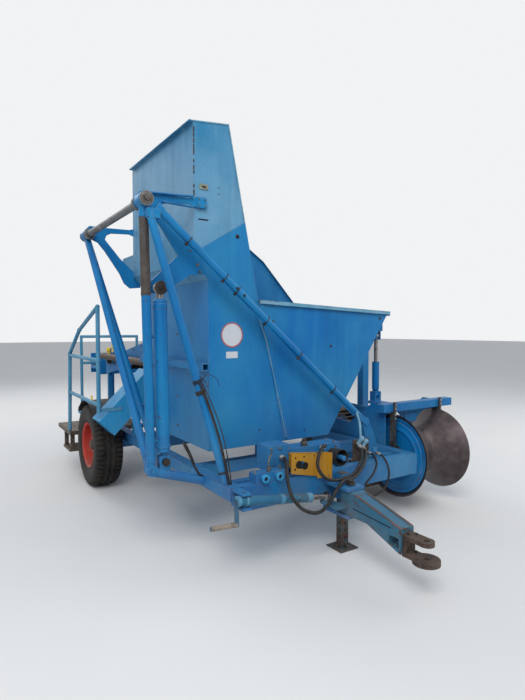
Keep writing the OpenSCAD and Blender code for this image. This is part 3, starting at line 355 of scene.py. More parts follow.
def painted(name, base, faded, wear=0.5, dirt=0.5, gloss=0.4, streak=0.35, chips=0.62, low=0.3,
            high=0.95, dent=0.006):
    """Old enamel: faded in clouds, streaked by rain, pale at edges from rubbing and a painted
    highlight, rusty at edges and in chips, and dusty below high."""
    n = Nodes(name)
    base, faded = lin(*base), lin(*faded)
    # Fading, rain streaks, scuffs and grime
    fine = n.noise(22, 5, 0.6)
    clouds = n.ramp(n.noise(1.6, 5), 0.35, 0.7)
    colour = n.mix(n.times(clouds, 0.75), base, faded)
    run = n.ramp(n.noise(1.0, 4, 0.6, stretch=(9, 9, 0.8)), 0.52, 0.72)
    colour = n.mix(n.times(run, streak), colour, faded)
    scuff = n.ramp(n.noise(6, 6, 0.7), 0.56, 0.7)
    colour = n.mix(n.times(scuff, 0.3), colour, faded)
    grime = n.ramp(n.noise(1.3, 5, 0.6, stretch=(6, 6, 1.1)), 0.5, 0.75)
    colour = n.mix(n.times(grime, 0.3), colour, tuple(c * 0.45 for c in base))
    # Pale edges: paint worn pale, partly a painted highlight
    rim = n.edges()
    pale = tuple(min(1.0, 0.35 * c + 0.28) for c in faded)
    paler_edge = n.times(rim, n.ramp(n.noise(9, 4), 0.38, 0.6))
    colour = n.mix(n.times(paler_edge, 0.6), colour, pale)
    # Rust on edges, in chips and in streaks below them
    edge = n.times(rim, n.ramp(n.noise(14, 4), 0.42, 0.66))
    spots = n.ramp(n.noise(30, 6, 0.7), chips, chips + 0.05)
    patch = n.ramp(n.noise(3.1, 3), 0.45, 0.62)
    worn = n.most(n.times(edge, wear * 1.6), n.times(spots, patch))
    bleed = n.ramp(n.noise(2.2, 5, 0.65, stretch=(14, 14, 1.3)), 0.66, 0.78)
    worn = n.most(worn, n.times(n.times(bleed, patch), 0.45))
    worn = n.ramp(n.times(worn, wear * 1.5), 0.0, 1.0)
    colour = n.mix(worn, colour, n.mix(fine, RUST, tuple(c * 0.45 for c in RUST)))
    # Soil low down and on top
    soil = n.times(n.height(low, high), n.ramp(n.noise(4.5, 6, 0.65), 0.3, 0.75))
    soil = n.times(n.most(soil, n.times(n.facing_up(), 0.35)), dirt)
    colour = n.mix(soil, colour, DUST)
    matt = n.math("ADD", n.times(fine, 0.4), n.most(worn, soil))
    rough = n.ramp(matt, 0.0, 1.2, gloss, 0.85)
    waves = n.math("ADD", n.noise(2.4, 2), n.times(worn, -0.12))
    waves = n.math("ADD", waves, n.times(fine, 0.05))
    return n.finish(colour, rough, 0.0, waves, 0.35, dent, coat=0.02, shine=0.22)


def bare(name, base, dark, metal=0.6, rough=(0.4, 0.8), grain=30.0, bump=0.3, dirt=0.3):
    """Bare or rusted metal, or weathered wood, with soil on it."""
    n = Nodes(name)
    base, dark = lin(*base), lin(*dark)
    spots = n.noise(grain, 6, 0.65)
    colour = n.mix(n.ramp(spots, 0.35, 0.65), dark, base)
    colour = n.mix(n.ramp(n.noise(4, 4), 0.45, 0.7, 0.0, 0.6), colour, dark)
    paler_edge = tuple(min(1.0, c * 1.7 + 0.02) for c in base)
    colour = n.mix(n.times(n.edges(), 0.5), colour, paler_edge)
    soil = n.times(n.ramp(n.noise(7, 5, 0.6), 0.45, 0.7), dirt)
    colour = n.mix(soil, colour, DUST)
    matt = n.ramp(n.math("ADD", spots, soil), 0.3, 1.0, *rough)
    return n.finish(colour, matt, metal, n.noise(grain * 2, 5, 0.7), bump, 0.002, rounding=0.0015)


def rubber(name, base, dusty, amount=0.5, scale=9.0):
    """Matt rubber, dusty in patches; also the near-black painted shade in holes and slots."""
    n = Nodes(name)
    soil = n.times(n.ramp(n.noise(scale, 6, 0.65), 0.38, 0.68), amount)
    colour = n.mix(soil, lin(*base), lin(*dusty))
    rough = n.ramp(soil, 0.0, 1.0, 0.55, 0.92)
    return n.finish(colour, rough, 0.0, n.noise(90, 4), 0.25, 0.001, rounding=0.001, shine=0.25)


SIGN_WEAR = dict(wear=0.3, dirt=0.2, gloss=0.45, chips=0.66)
# Name: kind, main colour, faded, dark or dusty colour, and what differs from the usual
LOOKS = {
    "frame_blue": (painted, (0, 98, 160), (30, 130, 178), dict(wear=0.75, dirt=0.42)),
    "hopper_blue": (painted, (0, 102, 166), (44, 130, 172), dict(
        wear=0.35, dirt=0.2, chips=0.68, gloss=0.36, low=0.5, high=1.0, dent=0.009)),
    "chute_blue": (painted, (48, 120, 160), (112, 158, 186), dict(
        dirt=0.3, gloss=0.5, chips=0.66, dent=0.012, streak=0.5)),
    "clod_blue": (painted, (12, 132, 186), (70, 156, 194), dict(
        dirt=0.25, gloss=0.42, chips=0.64)),
    "rail_blue": (painted, (58, 126, 160), (106, 158, 184), dict(wear=0.8, dirt=0.35, gloss=0.5)),
    # Pale blue: a painted highlight along lit lips, seams and edges, partly faded paint
    "faded_and_highlight_blue": (painted, (88, 146, 172), (136, 172, 190), dict(
        wear=0.7, dirt=0.3, gloss=0.5, chips=0.6)),
    "disc_blue": (painted, (0, 98, 160), (20, 126, 184), dict(
        wear=0.6, dirt=0.2, chips=0.6, low=0.2, high=0.5)),
    "drawbar_worn": (painted, (18, 96, 132), (54, 112, 132), dict(
        wear=0.95, gloss=0.5, chips=0.54, low=0.25, high=0.6)),
    "jack_worn": (painted, (34, 62, 72), (52, 78, 84), dict(
        wear=0.95, dirt=0.6, gloss=0.55, chips=0.5)),
    "guard_yellow": (painted, (172, 118, 6), (182, 138, 34), dict(
        wear=0.95, dirt=0.4, chips=0.55, low=0.4, high=0.8)),
    "grip_yellow": (painted, (214, 186, 30), (224, 206, 90), dict(wear=0.3, dirt=0.3, gloss=0.5)),
    "rim_red": (painted, (180, 34, 26), (192, 66, 50), dict(
        wear=0.35, dirt=0.7, gloss=0.5, low=0.2, high=0.7)),
    "sign_pale": (painted, (186, 190, 198), (204, 206, 210), SIGN_WEAR),
    "sign_ring": (painted, (160, 70, 72), (180, 104, 104), SIGN_WEAR),
    "worn_steel": (bare, (96, 78, 68), (48, 40, 37), dict(metal=0.35, rough=(0.5, 0.85))),
    "roller_steel": (bare, (88, 78, 80), (64, 55, 57), dict(
        rough=(0.34, 0.6), grain=14.0, bump=0.12, dirt=0.15)),
    "greasy_steel": (bare, (52, 46, 42), (24, 21, 20), dict(
        metal=0.4, rough=(0.35, 0.7), dirt=0.2)),
    "dull_steel": (bare, (112, 114, 112), (62, 54, 48), dict(
        metal=0.7, rough=(0.4, 0.7), dirt=0.2)),
    "shaft_grey": (bare, (126, 134, 140), (78, 72, 68), dict(
        metal=0.35, rough=(0.45, 0.75), grain=12.0, dirt=0.15)),
    "web_steel": (bare, (112, 102, 92), (66, 54, 46), {}),
    "bright_steel": (bare, (160, 162, 164), (104, 92, 82), dict(
        metal=0.85, rough=(0.3, 0.6), dirt=0.1)),
    "edge_brown": (bare, (66, 58, 54), (44, 34, 30), dict(metal=0.1, rough=(0.7, 0.95), dirt=0.1)),
    "edge_rust": (bare, (120, 92, 88), (56, 52, 54), dict(
        metal=0.2, rough=(0.6, 0.9), grain=18.0, dirt=0.2)),
    "post_brown": (bare, (86, 86, 84), (52, 42, 38), dict(
        metal=0.15, rough=(0.55, 0.85), grain=9.0, dirt=0.15)),
    "grip_wood": (bare, (156, 146, 132), (112, 100, 88), dict(
        metal=0.1, rough=(0.6, 0.85), dirt=0.2)),
    "pale_wood": (bare, (142, 152, 132), (92, 96, 84), dict(metal=0.0, rough=(0.7, 0.95))),
    # Near-black: painted shade in holes and slots, and the dark weld beads
    "hole_shade_and_weld_dark": (rubber, (14, 14, 16), (34, 32, 30), dict(amount=0.4)),
    "cable_dark": (rubber, (34, 32, 32), (78, 70, 62), dict(scale=20.0)),
    "hose_rubber": (rubber, (26, 26, 28), (86, 80, 74), dict(amount=0.3, scale=14.0)),
    "belt_rubber": (rubber, (30, 30, 32), (88, 82, 74), dict(amount=0.35)),
    "tyre_rubber": (rubber, (19, 19, 21), (70, 63, 55), dict(scale=6.0)),
}
MAT = {name: kind(name, main, other, **looks) for name, (kind, main, other, looks) in LOOKS.items()}

# Each CAD node takes its slot's material, apart from these
SPECIAL = {"clod_chute": "clod_blue", "pivot_shaft": "shaft_grey", "jack_leg": "jack_worn",
           "roller_arms": "dull_steel"}
for part in frame["record"]["subparts"]:
    node_mesh = NODES[part["node"]].data
    node_mesh.materials.clear()
    node_mesh.materials.append(MAT[SPECIAL.get(part["node"], part["material_slot"])])
    node_mesh.shade_smooth()
    node_mesh.set_sharp_from_angle(angle=math.radians(32))

# Hoses: the same routes as the CAD source's
LONG = [
    (-760, -2165, 632), (-772, -2225, 632), (-808, -2295, 610), (-846, -2358, 547),
    (-848, -2405, 462), (-800, -2435, 388), (-720, -2450, 348), (-655, -2452, 350),
    (-600, -2452, 385), (-550, -2448, 436), (-500, -2436, 476), (-448, -2412, 488),
    (-390, -2398, 487), (-325, -2380, 487), (-250, -2345, 498), (-163, -2300, 530),
    (-75, -2225, 583), (-40, -2154, 605)]
SHORT = [
    (-400, -2130, 640), (-412, -2180, 660), (-455, -2240, 686), (-530, -2300, 694),
    (-590, -2340, 660), (-620, -2365, 610), (-614, -2382, 565), (-572, -2392, 520),
    (-490, -2388, 494), (-390, -2368, 490), (-300, -2340, 492), (-215, -2300, 512),
    (-140, -2250, 552), (-92, -2202, 602), (-80, -2154, 630)]
FAR = [
    (15, -2154, 560), (12, -2215, 552), (-20, -2280, 515), (-80, -2308, 455),
    (-150, -2314, 405), (-186, -2316, 360), (-178, -2316, 322), (-130, -2316, 302),
    (-50, -2316, 306), (20, -2316, 336), (58, -2314, 385), (72, -2310, 440),
    (72, -2292, 500), (68, -2250, 545), (62, -2194, 560)]


def hose(name, points, r):
    """A rubber hose along its route, with a nut and a crimped sleeve at each end."""
    run = spline(points, 8)
    ends = Form()
    for a, b in ((run[0], run[3]), (run[-1], run[-4])):
        way = (b - a).normalized()
        ends.stub(a, way, -4, 10, r * 1.7, 6)
        ends.stub(a, way, 9, 15, r * 1.25)
        ends.stub(a, way, 14, r * 2 + 26, r * 1.35)
        for crimp in (18, 25, 32):
            ends.stub(a, way, crimp, crimp + 3, r * 1.45)
    fittings = ends.make(name + "_fittings", "chassis", "bright_steel", bevel=0.8)
    piece = Form().sweep(run, r, 14).make(
        name + "_skin", "chassis", "belt_rubber", "hose_rubber", smooth=60)
    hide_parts(name)


hose("hose_long", LONG, 11.0)
hose("hose_short", SHORT, 11.0)
hose("hose_far", FAR, 7.0)


# Wheels
TYRE_R, BEAD_R, BEAD_HALF = 380.0, 198.0, 87.5
WHEEL_Z, TRACK_HALF = 380.0, 1340.0
LUGS, STEPS_PER_LUG = 52, 9
# Gaps between the lugs: how far out they start, depth, lean and half width as shares of a lug
GAP_FROM, GAP_DEPTH, GAP_LEAN, GAP_HALF = 56, 13.0, 0.12, 0.17
GROOVES, GROOVE_DEPTH, GROOVE_HALF, GROOVE_ZIG = (-50, 0, 50), 10.0, 5.5, 7
# Below TREAD_FROM the wall carries raised rings at these radii
TREAD_FROM, WALL_RINGS, WALL_RELIEF = 340, ((250, 256), (318, 323)), 1.5


def tyre_depth(theta, x):
    """How deep the tread is cut at angle theta and x across: shoulder gaps and zigzag grooves."""
    phase = (theta * LUGS / (2 * math.pi)) % 1.0
    zig = abs(((theta * LUGS / 2 / (2 * math.pi)) % 1.0) - 0.5) * 4 - 1
    depth = 0.0
    if abs(x) > GAP_FROM and abs(phase - 0.5 - GAP_LEAN * math.copysign(1, x)) < GAP_HALF:
        depth = GAP_DEPTH
    if any(abs(x - middle - GROOVE_ZIG * zig) < GROOVE_HALF for middle in GROOVES):
        depth = max(depth, GROOVE_DEPTH)
    return depth


def tyre(side, tag):
    """Agricultural block tread on a rounded carcass with two raised rings on its walls."""
    wall = spline([(BEAD_R, BEAD_HALF, 0), (228, 111, 0), (268, 122, 0), (300, 124.5, 0),
                   (338, 120, 0), (360, 112, 0), (374, 97, 0), (379, 80, 0)], 5)
    profile = [(p.x, p.y) for p in wall]
    profile += [(TYRE_R, 76.0 - 3.2 * k) for k in range(48)]
    profile += [(p.x, -p.y) for p in reversed(wall)]
    form = Form()
    rings = []
    for s in range(LUGS * STEPS_PER_LUG):
        theta = 2 * math.pi * s / (LUGS * STEPS_PER_LUG)
        ring = []
        for r, x in profile:
            if r > TREAD_FROM:
                r -= tyre_depth(theta, x) * min(1.0, (r - TREAD_FROM) / 20)
            if any(low < r < high for low, high in WALL_RINGS):
                x += math.copysign(WALL_RELIEF, x)
            ring.append(form.bm.verts.new((
                side * TRACK_HALF + x, r * math.sin(theta), WHEEL_Z + r * math.cos(theta))))
        rings.append(ring)
    form.join(rings)
    piece = form.make("tyre_" + tag + "_tread", "wheel_" + tag, "tyre_rubber", smooth=38)
    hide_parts("tyre_" + tag)


def wheel_trim(side, tag):
    """Dished disc with a stiffening ring, six nuts, hub cap and valve."""
    middle = (side * TRACK_HALF, 0, WHEEL_Z)
    dish = [(34, 84), (34, 118), (14, 146), (10, 170), (40, 188), (36, 190.5), (4, 172), (8, 142),
            (28, 114), (28, 84)]
    disc = Form().spin(middle, "X", [(side * a, r) for a, r in dish], 72)
    disc.make("wheel_dish_" + tag, "wheel_" + tag, "rim_red", bevel=1.0)
    nuts = Form()
    for y, z in circle(6, 100, 15):
        nuts.bolt((side * (TRACK_HALF + 34), y, WHEEL_Z + z), LEFT * side, 12, 16)
    cap = [(58, 46), (74, 46), (84, 38), (88, 20), (89, 0.5), (60, 0.5)]
    nuts.spin(middle, "X", [(side * a, r) for a, r in cap], 32)
    valve = Vector((side * (TRACK_HALF + 20), 172 * math.cos(1.2), WHEEL_Z + 172 * math.sin(1.2)))
    nuts.stub(valve, LEFT * side, 0, 34, 4, 10)
    nuts.make("wheel_nuts_" + tag, "wheel_" + tag, "worn_steel", bevel=0.8)


for wheel_side, wheel_tag in ((-1, "right"), (1, "left")):
    tyre(wheel_side, wheel_tag)
    wheel_trim(wheel_side, wheel_tag)


# Ridge roller: worn saddle, blue pressed discs and greasy hubs
ROLLER = (761.0, -1960.0, 435.0)
ROLLER_HALF, ROLLER_R, WAIST_R, TREAD_T = 260.0, 335.0, 200.0, 10.0
DISC_SHAPE = [(0, 40), (0, 196), (8, 206), (8, 222), (2, 230), (2, 262), (-5, 268), (-5, 276),
              (2, 282), (2, 304), (-6, 303), (-6, 40)]
HUB_SHAPE = [(-10, 21), (-10, 80), (4, 80), (8, 74), (8, 50), (16, 46), (16, 21)]
ARM_BOLTS_Y, ARM_BOLTS_Z = -1990, (735, 765, 815, 845)


def saddle(t, inset):
    """Point of the saddle at t from -1 to 1 across, inset below its surface."""
    return t * ROLLER_HALF, WAIST_R + (ROLLER_R - WAIST_R) * abs(t) ** 1.6 - inset


def ridge_roller():
    outer = [saddle(k / 20 - 1, 0) for k in range(41)]
    inner = [saddle(1 - k / 20, TREAD_T) for k in range(41)]
    tread = Form().spin(ROLLER, "X", outer + inner, 96)
    piece = tread.make("roller_tread", "roller", "worn_steel", "roller_steel", bevel=1.2, smooth=50)
    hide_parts("ridge_roller")
    x, y, z = ROLLER
    discs, hubs, nuts = Form(), Form(), Form()
    for s in (-1, 1):
        face = s * (ROLLER_HALF - 18)
        discs.spin(ROLLER, "X", [(face + s * a, r) for a, r in DISC_SHAPE], 96)
        hubs.spin(ROLLER, "X", [(face + s * a, r) for a, r in HUB_SHAPE], 48)
        for dy, dz in circle(6, 62):
            hubs.bolt((x + face + s * 7, y + dy, z + dz), LEFT * s, 6, 5)
        nuts.bolt((x + s * (ROLLER_HALF + 26), y, z), LEFT * s, 19, 14)
        for bolt_z in ARM_BOLTS_Z:
            nuts.bolt((x + s * (ROLLER_HALF + 17), ARM_BOLTS_Y, bolt_z), FORWARD, 7, 6)
    discs.make("roller_discs", "roller", "frame_blue", "disc_blue", bevel=1.5, smooth=50)
    hubs.make("roller_hubs", "roller", "worn_steel", "greasy_steel", bevel=0.8)
    nuts.make("roller_arm_nuts", "digger", "bright_steel", bevel=0.6)


ridge_roller()


# Bunker, with corners as (x, z)
FRONT_Y, REAR_Y = -1810.0, -600.0
CHUTE_X, CHUTE_TOP_Z = -1197.0, 2793
RIM = (581.0, 1604.0)
CHEEK_FOOT = (-711.0, 1660.0)
REAR_BEND = (97.0, 2119.0)
CHEEK_TOP = (-939.0, 2821.0)
SIGN = (-920, FRONT_Y - 0.2, 1416)
SIGN_R = 77
# Patches of the weld up the chute's front corner, from z to z
WELD_RUNS = ((2318, 2350), (2372, 2392), (2462, 2506), (2530, 2545), (2580, 2640), (2655, 2672),
             (2690, 2752))
# Plugs in the front wall as x, z and radius
PLUGS = ((-585, 1511, 8), (-45, 1327, 10), (481, 1547, 12), (-876, 2083, 14), (-700, 742, 6),
         (-300, 700, 5))


def bunker_trim():
    """Folded lips, seam, weld, plugs and bolts of the sheets."""
    lips = Form()
    lips.strip(CHEEK_FOOT, RIM, FRONT_Y, -22, 6)
    foot, tip = (CHEEK_FOOT[0] + 4, CHEEK_FOOT[1] - 4), (RIM[0] - 1, RIM[1] - 5)
    lips.strip(foot, tip, FRONT_Y - 22, 4, 22)
    lips.strip(REAR_BEND, RIM, REAR_Y - 5, -24, 6)
    lips.strip(CHEEK_TOP, REAR_BEND, REAR_Y - 5, -24, 6)
    # The lips' pale blue is a painted highlight along their lit edges
    lips.make("bunker_lips", "bunker", "hopper_blue", "faded_and_highlight_blue", bevel=1.5)

    line = ((-757, 1640), (-650, 1379), (-476, 667))
    seam = Form().panel([*line, *((x + 6, z) for x, z in reversed(line))], FRONT_Y + 3, -15)
    # The seam's pale blue is a painted highlight along the lit ridge
    seam.make("hopper_seam", "bunker", "hopper_blue", "faded_and_highlight_blue", bevel=1.5)

    top_x, top_z = CHEEK_TOP
    edge = Form().strip((CHUTE_X, CHUTE_TOP_Z), CHEEK_TOP, FRONT_Y + 4, -3, 9)
    edge.panel([(top_x + 1, top_z), (-814, 2187), (-821, 2187), (top_x - 7, top_z)],
               FRONT_Y + 4, -3)
    # The strip's pale blue is a painted highlight along the chute's lit edge
    edge.make("chute_edge_strip", "bunker", "chute_blue", "faded_and_highlight_blue", bevel=0.6)

    weld = Form()
    for z, high in WELD_RUNS:
        while z < high:
            weld.ball((CHUTE_X + 1, FRONT_Y + 4, z), rng.uniform(3.2, 5.6), 1.6)
            z += rng.uniform(5, 9)
    for k in range(14):
        weld.ball((-1099, FRONT_Y + 1, 1215 - k * 12.5 - 40 * (k % 3)), 2.8, 1.7)
    weld.make("bunker_welds", "bunker", "worn_steel", "edge_brown")

    plugs = Form()
    for x, z, r in PLUGS:
        plugs.spin((x, FRONT_Y, z), "Y", [(1, 0.5), (1, r), (-3, r), (-4, r * 0.7), (-4, 0.5)], 20)
    plugs.make("bunker_plugs", "bunker", "belt_rubber", "greasy_steel")
    heads = Form()
    for x, z in ((-1016, 2392), (-1014, 2350)):
        heads.bolt((x, FRONT_Y + 5, z), FORWARD, 5, 3, washer=False)
    for z in (1420, 1200, 960, 740):
        heads.bolt((-1100, -1300, z), RIGHT, 7, 5)
    heads.make("bunker_bolts", "bunker", "bright_steel", "dull_steel", bevel=0.5)


def chute_trim():
    """Pad and slots of painted shade on the chute, the skirt under its rear, and the blank signs.
    """
    pad = Form().box((-1158, FRONT_Y - 1, 2362), (-1096, FRONT_Y + 5, 2398))
    pad.make("chute_pad", "bunker", "chute_blue", "pale_wood", bevel=1.2)
    slot = Form().box((-1165, FRONT_Y + 3.6, 2164), (-1093, FRONT_Y + 5, 2173))
    slot.box((-1140, FRONT_Y - 2.4, 2374), (-1112, FRONT_Y - 1, 2384))
    # Dark boxes of painted shade stand for the slots
    slot.make("chute_slot_shade", "bunker", "belt_rubber", "hole_shade_and_weld_dark", bevel=0.3)

    sign = Form().disc(SIGN, "Y", SIGN_R, 1, 64)
    sign.make("round_sign", "bunker", "chute_blue", "sign_pale")
    x, inner_x, y, rear_y, z = -1198, -1100, -606, -320, 2083
    skirt = Form()
    skirt.plate([(x, y, 1893), (x, rear_y, 1897), (x, rear_y, z), (x, y, z)], LEFT, 4)
    skirt.plate([(x, y, z), (x, rear_y, z), (-1172, rear_y, z), (-1172, y, z)], UP, -4)
    skirt.panel([(x, z), (x, 1897), (inner_x, 1866), (inner_x, z)], rear_y, 4)
    skirt.plate([(x, y, 1893), (x, rear_y, 1897), (inner_x, rear_y, 1866), (inner_x, y, 1862)],
                UP, 4)
    skirt.make("chute_skirt", "bunker", "chute_blue", bevel=1.2)
    band = [(0, SIGN_R - 1), (0, SIGN_R + 8), (-1.3, SIGN_R + 8), (-1.3, SIGN_R - 1)]
    ring = Form().spin(SIGN, "Y", band, 64)
    ring.make("round_sign_ring", "bunker", "rim_red", "sign_ring")
    label = Form().box((-966, FRONT_Y - 1.2, 1258), (-876, FRONT_Y + 0.5, 1303))
    label.make("small_label", "bunker", "guard_yellow", "sign_pale", bevel=0.8)


bunker_trim()
chute_trim()


# Tipping gear
PIVOT_X, PIVOT_Z = -1560.0, 2220.0
PIVOT_FRONT_Y, PIVOT_REAR_Y = -1944, -476
BRACKET_Y = FRONT_Y - 12
BARREL_FOOT = Vector((-1440, -1868, 640))
ROD_EYE = Vector((-1458, -1868, 1707))
POST_FOOT, POST_HEAD = Vector((-1525, -1880, 587)), Vector((-1560, -1880, 2183))


def bracket_trim():
    """Flanges and bolts of the tipping brackets, and the pivot's cap and nuts."""
    arm = Form()
    for a, b in (((-1556, 2286), (-1215, 2303)), ((-1420, 2244), (-1215, 2237))):
        arm.strip(a, b, BRACKET_Y + 1, -26, 9)
    arm.box((-1182, BRACKET_Y - 7, 2236), (-1114, BRACKET_Y + 1, 2304))
    arm.make("tip_arm_flanges", "bunker", "frame_blue", bevel=1.5)
    heads = Form()
    for x, z in ((-1168, 2250), (-1128, 2250), (-1168, 2290), (-1128, 2290)):
        heads.bolt((x, BRACKET_Y - 7, z), FORWARD, 6, 5, washer=False)
    for x, z in ((-1227, 1960), (-1180, 1870), (-1165, 1825)):
        heads.bolt((x, BRACKET_Y, z), FORWARD, 8, 6)
    front = (PIVOT_X, PIVOT_FRONT_Y, PIVOT_Z)
    heads.spin(front, "Y", [(1, 18), (1, 38), (-3, 38), (-5, 34), (-5, 18)], 40)
    heads.bolt(front, FORWARD, 17, 14)
    heads.bolt((PIVOT_X, PIVOT_REAR_Y, PIVOT_Z), REARWARD, 17, 14)
    heads.make("tip_bolts", "bunker", "bright_steel", "dull_steel", bevel=0.6)


def cylinder_trim():
    """The barrel's pin, sleeve and gland, and the nut on the rod's eye."""
    pins = Form().pin(BARREL_FOOT, -52, -30, 24, 24)
    pins.pin(BARREL_FOOT, -58, -50, 13, 6)
    pins.pin(BARREL_FOOT, 30, 52, 24, 24)
    pins.make("foot_pin_heads", "tip_barrel", "worn_steel", "greasy_steel", bevel=1.2)

    line = (ROD_EYE - BARREL_FOOT).normalized()
    sleeve = Form().stub(BARREL_FOOT, line, 150, 990, 42.5, 40)
    sleeve.stub(BARREL_FOOT, line, 985, 1000, 42.5, 40, 30)
    sleeve.stub(BARREL_FOOT, line, 940, 968, 44.5, 40)
    sleeve.stub(BARREL_FOOT, line, 84, 104, 45, 32)
    for d in (130, 770):
        port = BARREL_FOOT + line * d
        sleeve.stub(port, RIGHT, 34, 60, 12, 6)
    sleeve.make("cylinder_sleeve", "tip_barrel", "frame_blue", bevel=1.5)

    eye = Form().spin(ROD_EYE, "Y", [(-24, 18), (-24, 41.5), (-29, 41.5), (-31, 38), (-31, 18)], 40)
    eye.pin(ROD_EYE, -33, -22, 22, 24)
    eye.pin(ROD_EYE, -42, -30, 14, 6)
    eye.make("rod_eye_nut", "tip_rod", "worn_steel", "greasy_steel", bevel=1.0)


def post_trim():
    """Collars, foot pin and worn brown sleeve of the front post."""
    way = (POST_HEAD - POST_FOOT).normalized()
    post = Form()
    for d in (12, 60, 1534):
        post.stub(POST_FOOT, way, d, d + 8, 31, 32)
    foot = POST_FOOT + Vector((0, 0, 8))
    post.pin(foot, -36, 36, 34, 28)
    post.pin(foot, -46, -34, 16, 6)
    post.make("post_collars", "chassis", "frame_blue", bevel=1.5)
    sleeve = Form().stub(POST_FOOT, way, 1075, 1532, 28.8, 40)
    sleeve.stub(POST_FOOT, way, 1070, 1092, 30, 40)
    sleeve.make("post_sleeve", "chassis", "worn_steel", "post_brown", bevel=1.0)


bracket_trim()
cylinder_trim()
post_trim()


# Pipe, wire, clips and cables on the struts
STRUT_HEAD, STRUT_END = Vector((-1463, -1925, 2152)), Vector((145, -1925, 781))
FRONT_HEAD, FRONT_FOOT = Vector((-1530, -1935, 2100)), Vector((-1146, -2150, 500))
# Windings of wire round the front strut: distance, turns and spread
WINDINGS = ((985, 3, 3.0), (1050, 4, 2.5), (1560, 2, 2.0))
# Loose ends as (along, out to the front, to the left) of the first winding, with their radius
LOOSE_ENDS = (([(-40, 34, 6), (10, 46, 30), (40, 60, 26)], 2.5),
              ([(-10, 30, 18), (-30, 38, 60), (10, 34, 110), (60, 30, 118)], 2.0))
# Cables down the front strut: radius and how far they lie to the left
CABLES = ((5.0, 8.0), (4.0, -6.0), (3.5, 17.0))
CABLE_FROM, CABLE_RUN = 1010, 640


def long_strut_trim():
    """A pipe under the long strut, its clips, and two bolts."""
    way = (STRUT_END - STRUT_HEAD).normalized()
    length = (STRUT_END - STRUT_HEAD).length
    down = FORWARD.cross(way)
    if down.z > 0:
        down = -down
    offset = down * 33 + Vector((0, -6, 0))
    run = [STRUT_HEAD + way * d + offset + down * 3 * math.sin(d / 90)
           for d in range(60, int(length) - 40, 40)]
    Form().sweep(run, 6, 10).make("strut_pipe", "chassis", "frame_blue")
    clips = Form()
    for d in (230, 560, 680, 980, 1350, 1760):
        at = STRUT_HEAD + way * d
        ring = [at + down * a + FORWARD * b for a, b in circle(24, 27.5)]
        clips.sweep(ring, 3.2, 6, closed=True)
        clips.stub(at + offset, way, -9, 9, 10, 12)
    for d in (665, 735):
        clips.bolt(STRUT_HEAD + way * d + Vector((0, -24, 0)), FORWARD, 8, 7)
    clips.make("strut_clips", "chassis", "worn_steel", "greasy_steel", bevel=0.5)


def front_strut_trim():
    """Wire wound round the front strut, and the cables down its front."""
    way = (FRONT_FOOT - FRONT_HEAD).normalized()
    left = way.cross(REARWARD).normalized()
    front = left.cross(way)
    if front.y > 0:
        front = -front
    wire = Form()
    for d, turns, grow in WINDINGS:
        at = FRONT_HEAD + way * d
        ring = []
        for k in range(turns * 16):
            t = 2 * math.pi * k / 16
            out = (left * math.cos(t) + front * math.sin(t)) * (28 + rng.uniform(0, 1.5))
            ring.append(at + way * (k / 16 * 7 * grow / 2.5) + out)
        wire.sweep(ring, 3.0, 6)
    for ends, r in LOOSE_ENDS:
        run = [FRONT_HEAD + way * (1000 + a) + front * b + left * c for a, b, c in ends]
        wire.sweep(spline(run, 6), r, 6)
    wire.make("strut_wire", "chassis", "belt_rubber", "cable_dark")

    cables = Form()
    for k, (r, spread) in enumerate(CABLES):
        run = []
        for d in range(CABLE_FROM, 1660, 40):
            sway = math.sin((d - CABLE_FROM) / CABLE_RUN * math.pi) * (14 + 7 * k)
            run.append(FRONT_HEAD + way * d + front * (31 + sway * 0.4) + left * (spread + sway))
        cables.sweep(spline(run, 3), r, 8)
    cables.make("strut_cables", "chassis", "belt_rubber", "cable_dark")


def cylinder_pipe():
    """The tipping cylinder's pipe, from the longeron up behind the post and down again."""
    pipe = spline([
        (-1150, -1700, 498), (-1165, -1705, 560), (-1215, -1740, 650), (-1270, -1800, 718),
        (-1298, -1865, 715), (-1285, -1915, 660), (-1255, -1915, 590), (-1215, -1900, 532),
        (-1186, -1890, 505)], 6)
    Form().sweep(pipe, 7, 10).make("cylinder_pipe", "chassis", "belt_rubber", "cable_dark")


long_strut_trim()
front_strut_trim()
cylinder_pipe()


# Drive, valves and what stands round them
GUARD_Y = -2277.0
GUARD_HOLES = ((-700, 600, 25), (-651, 586, 24), (-728, 646, 6), (-660, 646, 6), (-731, 573, 7),
               (-575, 640, 5))
SOCKETS_X, SOCKETS_Y, SOCKETS_Z = (-960, -856), -2290, 554
CASE_TOP_Z, CASE_FRONT_Y, VALVE_FRONT_Y = 664, -2130, -2165
FILLER = Vector((-525, -2100, 0))
ELBOW = (-905, -2240)
STRAP_Y, STRAP_T, BRACKET_FRONT_Y = -2242, 7, -2141


def guard_trim():
    """Holes of painted shade and folded edge of the yellow guard, and the valves' sockets."""
    holes, sockets = Form(), Form()
    for x, z, r in GUARD_HOLES:
        holes.disc((x, GUARD_Y - 0.2, z), "Y", r, 0.9, 28)
    for x in SOCKETS_X:
        holes.disc((x, SOCKETS_Y - 1, SOCKETS_Z), "Y", 13, 0.8)
        sockets.spin((x, SOCKETS_Y, SOCKETS_Z), "Y",
                     [(6, 13), (6, 27), (-8, 27), (-10, 24), (-10, 13)], 32)
    # Dark discs of painted shade stand for the holes and the sockets' bores
    holes.make("front_hole_shade", "chassis", "belt_rubber", "hole_shade_and_weld_dark")
    fold = Form().strip((-762, 681), (-551, 657), GUARD_Y, 22, 7)
    fold.make("guard_fold", "chassis", "guard_yellow", bevel=1.0)
    sockets.make("valve_sockets", "chassis", "frame_blue", "clod_blue", bevel=1.0)


